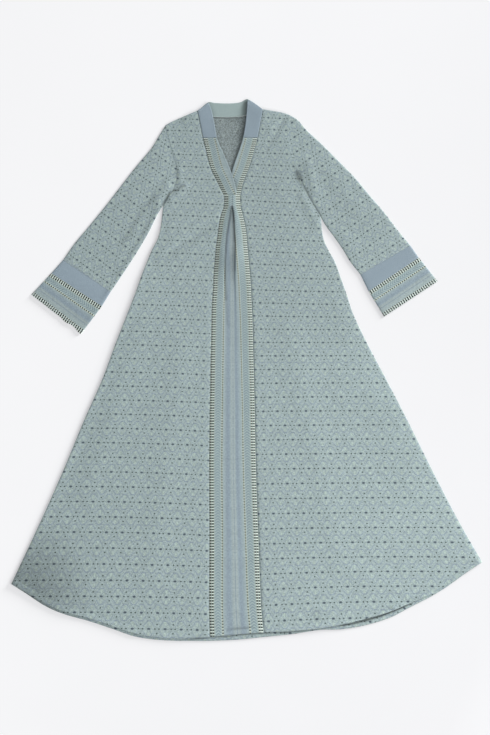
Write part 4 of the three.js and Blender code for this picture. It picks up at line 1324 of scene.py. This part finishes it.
def pleat_half(width, fold, turn, depth, drop, seam_height, bed):
    """The section from a seam to the middle: distances across and heights of the cloth's middle line."""
    angle = math.radians(min(turn, 180))
    is_open = 1 - min(turn, 180) / 180
    fall = 1 - math.cos(angle)
    radius = max(PLEAT_RADIUS, (drop - depth * math.sin(angle)) / (2 * fall))
    top = bed + 2 * radius * fall + depth * math.sin(angle)
    edge = PLEAT_RADIUS + CENTRE_WALL / 2
    start = fold - edge * (1 - is_open) - radius * math.sin(angle) * is_open
    ramp = max(start - depth - 2, start * 0.85)
    rise = np.linspace(0, 1, RAMP_STEPS)
    arc = np.linspace(0, angle, ARC_STEPS)
    turn_x = start + radius * np.sin(arc)
    turn_z = top - radius * (1 - np.cos(arc))
    foot_x = turn_x[-1] + depth * math.cos(angle) + radius * (math.sin(angle) - np.sin(arc[::-1]))
    foot_z = turn_z[-1] - depth * math.sin(angle) - radius * (np.cos(arc[::-1]) - math.cos(angle))
    flat = np.linspace(ramp, start, FLAT_STEPS + 2)[1:-1]
    rest = np.linspace(foot_x[-1], width / 2, REST_STEPS + 2)[1:-1]
    across = np.concatenate([ramp * rise, flat, turn_x, foot_x, rest])
    height = np.concatenate([mix(seam_height, top, smooth_step(rise, 0, 1)), [top] * FLAT_STEPS, turn_z,
        foot_z, [bed] * REST_STEPS])
    return np.stack([across, height], axis=1)


print("a flat fold of the pleat bends round", PLEAT_RADIUS, "mm")

# %% Centre panel
CENTRE_LINE = 0.52        # where the middle line of the border is, across the panel
HALF_BORDER = 1.6         # width of one half of the border, in repeats
PLEAT_START = 440         # above here the two halves of the border are only sewn side by side


def border_place(run, to_fold, to_middle, repeat, pleated):
    """The border's count: true to its seam up to the fold, and what is left of it from there inward."""
    middle = mix(to_middle / repeat, HALF_BORDER, pleated)
    inner = mix(to_fold / repeat, middle, (run - to_fold) / (to_middle - to_fold))
    return np.where(run < to_fold, run / repeat, inner)


def thickened(line, wall):
    """Points half a wall below and above a line of sections."""
    steps = np.diff(line, axis=0)
    steps /= np.maximum(np.linalg.norm(steps, axis=1, keepdims=True), 1e-9)
    turn = np.concatenate([steps[:1], steps]) + np.concatenate([steps, steps[-1:]])
    normal = np.stack([-turn[:, 1], turn[:, 0]], axis=1)
    scale = wall / 2 / np.maximum((normal ** 2).sum(axis=1, keepdims=True) / 2, 0.5)
    return line - normal * scale, line + normal * scale


def centre():
    a = centre_seam("left") + [SEAM_GAP, 0]
    b = centre_seam("right") - [SEAM_GAP, 0]
    fold_left, fold_right, depth, turn, drop = (column(CENTRE, "y", name)(levels)
        for name in ("foldLeft", "foldRight", "depth", "turn", "drop"))
    lower, upper, uv = [], [], []
    for i, level in enumerate(levels):
        width = b[i, 0] - a[i, 0]
        heights = front_bed(np.array([a[i, 0], (a[i, 0] + b[i, 0]) / 2, b[i, 0]]), a[i, 1]) + CENTRE_WALL / 2
        bend = (turn[i], depth[i], drop[i])
        near = pleat_half(width, fold_left[i] - a[i, 0], *bend, heights[0], heights[1])
        far = pleat_half(width, b[i, 0] - fold_right[i], *bend, heights[2], heights[1])[::-1]
        line = np.concatenate([near, [[width / 2, heights[1]]], far * [-1, 1] + [width, 0]])
        under, over = thickened(line, CENTRE_WALL)
        over[:, 1] += hem_extra(level)
        for points, rows in ((under, lower), (over, upper)):
            y = mix(a[i, 1], b[i, 1], points[:, 0] / width)
            rows.append(np.stack([a[i, 0] + points[:, 0], y, points[:, 1]], axis=1))
        run, repeat = walked(line), border_repeat(level)
        total = run[-1]
        pleated = smooth_step(-level, -PLEAT_START - 4, -PLEAT_START + 4)
        left = border_place(run, run[FOLD_POINT], CENTRE_LINE * total, repeat, pleated)
        right = border_place(total - run, total - run[-1 - FOLD_POINT], (1 - CENTRE_LINE) * total, repeat,
            pleated)
        up = -np.log(repeat_at(rows[-1][:, 1])) / GROWTH
        uv.append(np.stack([np.where(run < CENTRE_LINE * total, left, right), up], axis=1))
    return shell("centre_pleat_cloth", np.array(upper), np.array(lower), np.array(uv), [border, wrong_side])


pieces["centre_panel"] = centre()
print("centre panel:", len(pieces["centre_panel"].data.polygons), "faces")

# %% [markdown]
# ## The neckband
# The band is a folded strip, so it is thicker than the panels and its free edge is a round fold. It
# stands up a little at the neck, turns over the shoulder to its own inside at the back, and below the
# V its left half lies over its right one. Its border starts at the seam. Only the dashes and the pale
# band show, because the blue stripe is turned in with the fold, so the count slows down there.

# %% Neckband
BAND_COLUMNS = 22
BAND_PALE = 0.9           # beyond this place in its border the band is eased, and its blue stripe turned in
BAND_EASE = 0.3
BAND_SEAT = 0.2           # how far it floats above what it lies on
OUTER_STAND = 0.1         # how much of its stand is felt at the seam
PLAIN_STEPS = 48
CORNER_SPAN = (0.72, 1.05)        # where its top corner starts to round, and where it would be full
CROSS_RAMP = 0.3          # the share of its width over which the upper half climbs onto the lower


def neckband(side, kind):
    is_left, is_plain = side == "left", kind == "plain"
    inward = 1 if is_left else -1
    seam = band_seam(side) + [inward * SEAM_GAP, 0]
    outer_line = seam[:PLAIN_ROWS + 1] if is_plain else seam[PLAIN_ROWS:]
    inner_name = "innerLeft" if is_left else "innerRight"
    stand = column(BAND, "y", "stand")
    corner_x, corner_y = BAND_TOP_INNER[side]
    parts = np.linspace(0, 1, PLAIN_STEPS) ** 1.4 if is_plain else np.linspace(0, 1, BORDER_ROWS + 1)
    outer = along(outer_line, parts)
    if is_plain:
        inner_y = mix(corner_y, PLAIN_END, parts)
        top_rows = table("y x", (corner_y, corner_x), *zip(BAND["y"][:3], BAND[inner_name][:3]))
        inner_x = column(top_rows, "y", "x")(inner_y)
        from_fold = parts * (corner_y - PLAIN_END)
    else:
        inner_y = outer[:, 1]
        inner_x = column(BAND, "y", inner_name)(inner_y)
        from_fold = np.full(len(parts), BAND_CURL)
    across = edged(BAND_COLUMNS, 0.02)
    inner = np.stack([inner_x, inner_y], axis=1)
    plan = mix(outer[:, None], inner[:, None], across[None, :, None])
    if is_plain:
        near_fold = np.exp(-(from_fold / CORNER_REACH) ** 2)[:, None]
        plan[..., 1] += near_fold * (TOP_BOW[side] * np.sin(np.pi * across)
            - CORNER_ROUND * smooth_step(across, *CORNER_SPAN) ** 2)
    else:
        plan[0, :, 1] += BAND_TUCK
        plan[-1, :, 1] -= BAND_REACH
    x, y = plan[..., 0], plan[..., 1]
    curl = np.minimum(1, np.sqrt(from_fold / BAND_CURL))[:, None]
    rise = STAND_SHARE * stand(np.minimum(y, BAND["y"][0])) * mix(OUTER_STAND, 1, across) * curl
    bed = front_bed(x, y)
    wall, cross = np.tile(mix(FRONT_WALL, BAND_WALL, across), (len(parts), 1)), 0
    if is_plain:
        bed = np.maximum(bed, BAND_WALL + LAYER_GAP)
    else:
        wall -= CROSS_THINNING * (1 - smooth_step(y, BAND_END, CROSS_START))
    if is_left and not is_plain:
        climb = smooth_step(across, 0, CROSS_RAMP)
        cross = (wall + BAND_SEAT) * climb * (1 - smooth_step(y, CROSS_FULL, CROSS_START))
    low = bed + BAND_SEAT + rise + cross
    run = walked(outer)
    distance = np.linalg.norm(inner - outer, axis=1)[:, None] * across
    if is_plain:
        uv = np.dstack([distance / 10, np.broadcast_to(run[:, None] / 10, x.shape)])
        face = blue_jersey
    else:
        step = np.concatenate([[0], np.cumsum(np.diff(run) / repeat_at(outer[1:, 1]))])
        place = distance / border_repeat(y)
        place = np.minimum(place, BAND_PALE + (place - BAND_PALE) * BAND_EASE)
        uv = np.dstack([place, np.broadcast_to(step[:, None], x.shape)])
        face = border
    upper = np.dstack([x, y, low + wall - 0.5 * seam_dip(plan, (0,))])
    lower = np.dstack([x, y, low])
    if not is_left:
        upper, lower, uv = upper[:, ::-1], lower[:, ::-1], uv[:, ::-1]
    return shell(f"{side}_neckband_{kind}_cloth", upper, lower, uv, [face])


for side in ("left", "right"):
    for kind in ("plain", "border"):
        pieces[f"neckband_{side}_{kind}"] = neckband(side, kind)
print("front pieces of the neckband:", sum("neckband" in name for name in pieces))

# %% Back of the neckband
BACK_BAND_COLUMNS = 90
BACK_BAND_ROWS = 14


def neckband_back():
    x = np.linspace(BACK_BAND["x"][0], BACK_BAND["x"][-1], BACK_BAND_COLUMNS)
    down = edged(BACK_BAND_ROWS, 0.03)[:, None]
    top = column(BACK_BAND, "x", "top")(x)
    foot = np.interp(x, BACK_BAND["x"], BACK_BAND["seam"])
    y = mix(top[None], foot[None], down)
    x = np.broadcast_to(x, y.shape)
    upper = np.dstack([x, y, np.full_like(y, BAND_WALL)])
    lower = np.dstack([x, y, np.zeros_like(y)])
    return shell("back_neckband_cloth", upper, lower, np.dstack([x / 10, y / 10]), [pale_jersey])


pieces["neckband_back"] = neckband_back()
print("back of the neckband:", len(pieces["neckband_back"].data.polygons), "faces")

# %% [markdown]
# ## Sleeves and cuffs
# A sleeve that is laid flat is a tube pressed almost shut: two layers that meet in two folded edges.
# Each ring of the tube follows one line across the sleeve on top and comes back below it.

# %% Flattened tubes
TUBE_FLAT = 34            # points over the flat part of a ring
RING_DIP = 0.06           # how much lower the rings lie where they are sewn to each other
ARMHOLE_SINK = 0.25       # how much lower than the front it lies there
JOIN_REACH = 26           # over which the sleeve comes level with the front


def ring_profile():
    """Places across a flattened tube, and how high it has rounded up there."""
    first, rise = TUBE_EDGE["across"], TUBE_EDGE["rise"]
    flat = np.linspace(TUBE_FLAT_FROM, 1 - TUBE_FLAT_FROM, TUBE_FLAT)
    across = np.concatenate([first, flat, 1 - first[::-1]])
    return across, np.concatenate([rise, np.ones(TUBE_FLAT), rise[::-1]])


def flat_tube(name, plan_at, uv_of, materials, joins_front=False):
    """A flattened tube. plan_at gives the plan points of its rows at places across it."""
    across, rise = ring_profile()
    middle = SLEEVE_HEIGHT / 2

    def rings(inset, squeeze):
        layers = []
        for up, part in ((1, slice(None)), (-1, slice(-2, 0, -1))):
            plan = plan_at(0.5 + (across[part] - 0.5) * (1 - 2 * inset))
            x, y = plan[..., 0], plan[..., 1]
            folds = sum(ridge(x, y, *fold) for fold in SLEEVE_FOLDS.values())
            edge = np.minimum(1, across[part] * (1 - across[part]) * 12)
            raised = folds * edge * (up > 0)
            run = walked(plan[:, 0])[:, None]
            if up > 0:
                raised = raised - RING_DIP * np.exp(-((run[-1] - run) / SEAM_REACH) ** 2)
            if up > 0 and joins_front:
                level = front_bed(x, y) + FRONT_WALL - ARMHOLE_SINK - SLEEVE_HEIGHT
                raised = mix(raised, level, np.exp(-(run / JOIN_REACH) ** 2))
            elif up > 0:
                raised = raised - RING_DIP * np.exp(-(run / SEAM_REACH) ** 2)
            layers.append(np.dstack([x, y, middle + up * rise[part] * middle * squeeze + raised]))
        return np.concatenate(layers, axis=1)

    plan = plan_at(across)
    width = np.linalg.norm(plan[0, -1] - plan[0, 0])
    outer = rings(0, 1)
    inner = rings(SLEEVE_WALL / width, (middle - SLEEVE_WALL) / middle)
    return tube(name, outer, inner, uv_of(outer[..., 0], outer[..., 1]), materials)


print("points round a ring:", 2 * len(ring_profile()[0]) - 2)

# %% Sleeves
SLEEVE_ROWS = 9 * FINE
SLEEVE_LINE = 400         # points of its outer edge, which is only looked up
ARMHOLE_TUCK = 0.5        # how far the sleeve's edge lies in under the rolled edge of the front


def sleeve(side):
    data, is_left = SLEEVE[side], side == "left"
    away = np.array([ARMHOLE_TUCK if is_left else -ARMHOLE_TUCK, 0])
    armhole, underarm = armhole_line(side) + away, underarm_line(side) + away
    lower = joined(underarm, sampled([underarm[-1], *data["lower"], data["lowerEnd"]], SLEEVE_ROWS))
    fine = sampled([armhole[0], *data["outer"], data["outerEnd"]], SLEEVE_LINE)
    outer = along(fine, walked(lower) / walked(lower)[-1])
    foot = np.array([data["outerEnd"], data["lowerEnd"]], float)
    edges = (outer, lower, armhole, foot) if is_left else (lower, outer, armhole[::-1], foot[::-1])
    keep = np.unique(np.concatenate([np.arange(0, len(outer), 2), [len(outer) - 1]]))
    return flat_tube(f"{side}_sleeve_cloth", lambda across: patch(*edges, across)[keep],
        lambda x, y: sleeve_uv(side, x, y), [jacquard, wrong_side], joins_front=True)


print("rows below a sleeve's armhole:", SLEEVE_ROWS)

# %% Cuffs
CUFF_RIPPLE = 2.4         # how far the left cuff's edge waves near its lower corner
RIPPLE_PACE = 21          # how fast it waves across the cuff
RIPPLE_SPAN = (0.45, 0.75)
CUFF_GAP = 0.15
CUFF_ROWS = 26
CUFF_EDGE = 0.03          # where the first and last of those rows are, as shares of its length


def cuff(side, kind):
    data, is_left, is_plain = SLEEVE[side], side == "left", kind == "plain"
    names = ("outerEnd", "lowerEnd", "borderOuter", "borderLower") if is_plain else (
        "borderOuter", "borderLower", "cuffOuter", "cuffLower")
    outer_top, lower_top, outer_foot, lower_foot = (np.array(data[name], float) for name in names)
    length = np.linalg.norm(outer_foot - outer_top)
    rows = np.linspace(CUFF_EDGE, 1 - CUFF_EDGE, CUFF_ROWS)
    parts = np.concatenate([[CUFF_GAP / length], rows, [1]])[:, None]
    outer, lower = mix(outer_top, outer_foot, parts), mix(lower_top, lower_foot, parts)
    start, end = (outer, lower) if is_left else (lower, outer)
    cross = (lower_top - outer_top) / np.linalg.norm(lower_top - outer_top)
    foot_cross = (lower_foot - outer_foot) / np.linalg.norm(lower_foot - outer_foot)

    def plan_at(across):
        plan = mix(start[:, None], end[:, None], np.asarray(across)[None, :, None])
        if is_left and not is_plain:
            ripple = CUFF_RIPPLE * np.sin(across * RIPPLE_PACE) * smooth_step(across, *RIPPLE_SPAN)
            plan = plan + ripple[None, :, None] * (parts ** 3)[:, None] * (outer_foot - outer_top) / length
        return plan

    def uv_of(x, y):
        here = np.stack([x, y], axis=-1)
        down = np.abs((here - outer_top) @ np.array([-cross[1], cross[0]]))
        left = np.abs((here - outer_foot) @ np.array([-foot_cross[1], foot_cross[0]]))
        over = (here - outer_top) @ cross
        if is_plain:
            return np.stack([over / 10, down / 10], axis=-1)
        return np.stack([CUFF_BORDER * down / (down + left), CUFF_BORDER * over / length], axis=-1)

    face = blue_jersey if is_plain else border
    return flat_tube(f"{side}_cuff_{kind}_cloth", plan_at, uv_of, [face, wrong_side])


for side in ("left", "right"):
    pieces[f"sleeve_{side}"] = sleeve(side)
    for kind in ("plain", "border"):
        pieces[f"cuff_{kind}_{side}"] = cuff(side, kind)
print("cloth pieces:", len(pieces), "triangles:",
    sum(2 * len(piece.data.polygons) for piece in pieces.values()))

# %% [markdown]
# ## Rows of stitches
# A row of lockstitch holds the hem 15 mm above its edge, in thread of the cloth's own tone, and a
# close row of pale chain stitch covers the seam inside the back of the neck. A row is a line of plan
# points that is dropped onto the cloth. Each stitch is the same short bead of thread, laid again at
# every pitch, which is work for Geometry Nodes: they walk the line, set a bead on each step with a
# little chance in its size, and join them into one mesh.

# %% A row of stitches
STITCH_CHANCE = (0.85, 1.1)       # the smallest and largest bead, as shares of its size
HEM_STITCH = {"Pitch": 0.0032, "Stitch length": 0.0024, "Stitch width": 0.0006}
NECK_STITCH = {"Pitch": 0.0022, "Stitch length": 0.0021, "Stitch width": 0.0016}


def stitch_tree(sizes):
    """A node tree that turns a line into a row of stitches, with its sizes in metres as inputs."""
    tree = bpy.data.node_groups.new("row_of_stitches", "GeometryNodeTree")
    tree.interface.new_socket("Line", in_out="INPUT", socket_type="NodeSocketGeometry")
    for name, size in sizes.items():
        tree.interface.new_socket(name, in_out="INPUT", socket_type="NodeSocketFloat").default_value = size
    tree.interface.new_socket("Thread", in_out="INPUT", socket_type="NodeSocketMaterial")
    tree.interface.new_socket("Stitches", in_out="OUTPUT", socket_type="NodeSocketGeometry")
    line, pitch, length, width, colour = list(tree.nodes.new("NodeGroupInput").outputs)[:5]
    curve = add(tree, "GeometryNodeMeshToCurve", [line])
    walk = add(tree, "GeometryNodeCurveToPoints", {"Curve": curve, "Length": pitch}, mode="LENGTH")
    steps = walk.node.outputs
    bead = add(tree, "GeometryNodeMeshUVSphere", {"Segments": 6, "Rings": 4, "Radius": 0.5})
    least, most = ((share,) * 3 for share in STITCH_CHANCE)
    chance = add(tree, "FunctionNodeRandomValue", {"Min": least, "Max": most, "Seed": 7},
        data_type="FLOAT_VECTOR")
    size = add(tree, "ShaderNodeCombineXYZ", [width, width, length])
    size = add(tree, "ShaderNodeVectorMath", [size, chance], operation="MULTIPLY")
    row = add(tree, "GeometryNodeInstanceOnPoints", {"Points": steps["Points"], "Instance": bead,
        "Rotation": steps["Rotation"], "Scale": size})
    mesh = add(tree, "GeometryNodeRealizeInstances", [row])
    mesh = add(tree, "GeometryNodeSetShadeSmooth", {"Geometry": mesh})
    mesh = add(tree, "GeometryNodeSetMaterial", {"Geometry": mesh, "Material": colour})
    add(tree, "NodeGroupOutput", [mesh])
    return tree


print("a hem stitch every", 1000 * HEM_STITCH["Pitch"], "mm")

# %% Sewing along a line
STITCH_LIFT = 0.0001      # how far the middle of the thread lies above the cloth, in metres


def dropped(piece, x, y):
    """Plan points laid on top of a piece of cloth."""
    cloth = BVHTree.FromPolygons([point.co for point in piece.data.vertices],
        [polygon.vertices for polygon in piece.data.polygons])
    down = Vector((0, 0, -1))
    plan = metres(np.stack([x, y], axis=1))
    spots = [cloth.ray_cast(Vector((*spot, 1)), down)[0] for spot in plan]
    return [spot - STITCH_LIFT * down for spot in spots if spot]


def sewn(name, lines, colour, sizes):
    """One plain mesh of all the stitches along some lines."""
    points = [point for line in lines for point in line]
    ends = np.cumsum([len(line) for line in lines])
    edges = [(i, i + 1) for i in range(len(points) - 1) if i + 1 not in ends]
    guide = bpy.data.meshes.new(name)
    guide.from_pydata(points, edges, [])
    row = bpy.data.objects.new(name, guide)
    bpy.context.collection.objects.link(row)
    modifier = row.modifiers.new("row_of_stitches", "NODES")
    modifier.node_group = stitch_tree(sizes)
    values = {**sizes, "Thread": colour}
    for socket in modifier.node_group.interface.items_tree:
        if socket.name in values:
            modifier[socket.identifier] = values[socket.name]
    drawn = row.evaluated_get(bpy.context.evaluated_depsgraph_get())
    row.data = bpy.data.meshes.new_from_object(drawn)
    row.modifiers.clear()
    return row


print("the thread lies", 1000 * STITCH_LIFT, "mm above the cloth")

# %% Hem and neck rows
HEM_RUNS = {"front_panel_left": (-600, -106), "centre_panel": (-97, 41), "front_panel_right": (52, 600)}
NECK_RUN = (-92, 1)
hem_lines = []
for node, (first, last) in HEM_RUNS.items():
    hem_x = np.linspace(first, last, 160)
    hem_lines.append(dropped(pieces[node], hem_x, hem_front(hem_x) + HEM_DEPTH))
neck_x = np.linspace(*NECK_RUN, 40)
neck_y = np.interp(neck_x, BACK_BAND["x"], BACK_BAND["seam"]) + 1
stitching = [
    sewn("hem_stitches", hem_lines, tonal_thread, HEM_STITCH),
    sewn("neck_stitches", [dropped(pieces["neckband_back"], neck_x, neck_y)], pale_thread, NECK_STITCH),
]
print("stitches:", {row.name: len(row.data.polygons) for row in stitching})

# %% [markdown]
# ## Joining the frame
# Every piece rides on the one body and stands for its own solid, which is hidden. The rows of
# stitches ride on the body too. A half of the surface of a thin closed shell is the area of its
# cloth.

for node, piece in pieces.items():
    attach(piece, "root")
    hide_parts(node)

for row in stitching:
    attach(row, "root")
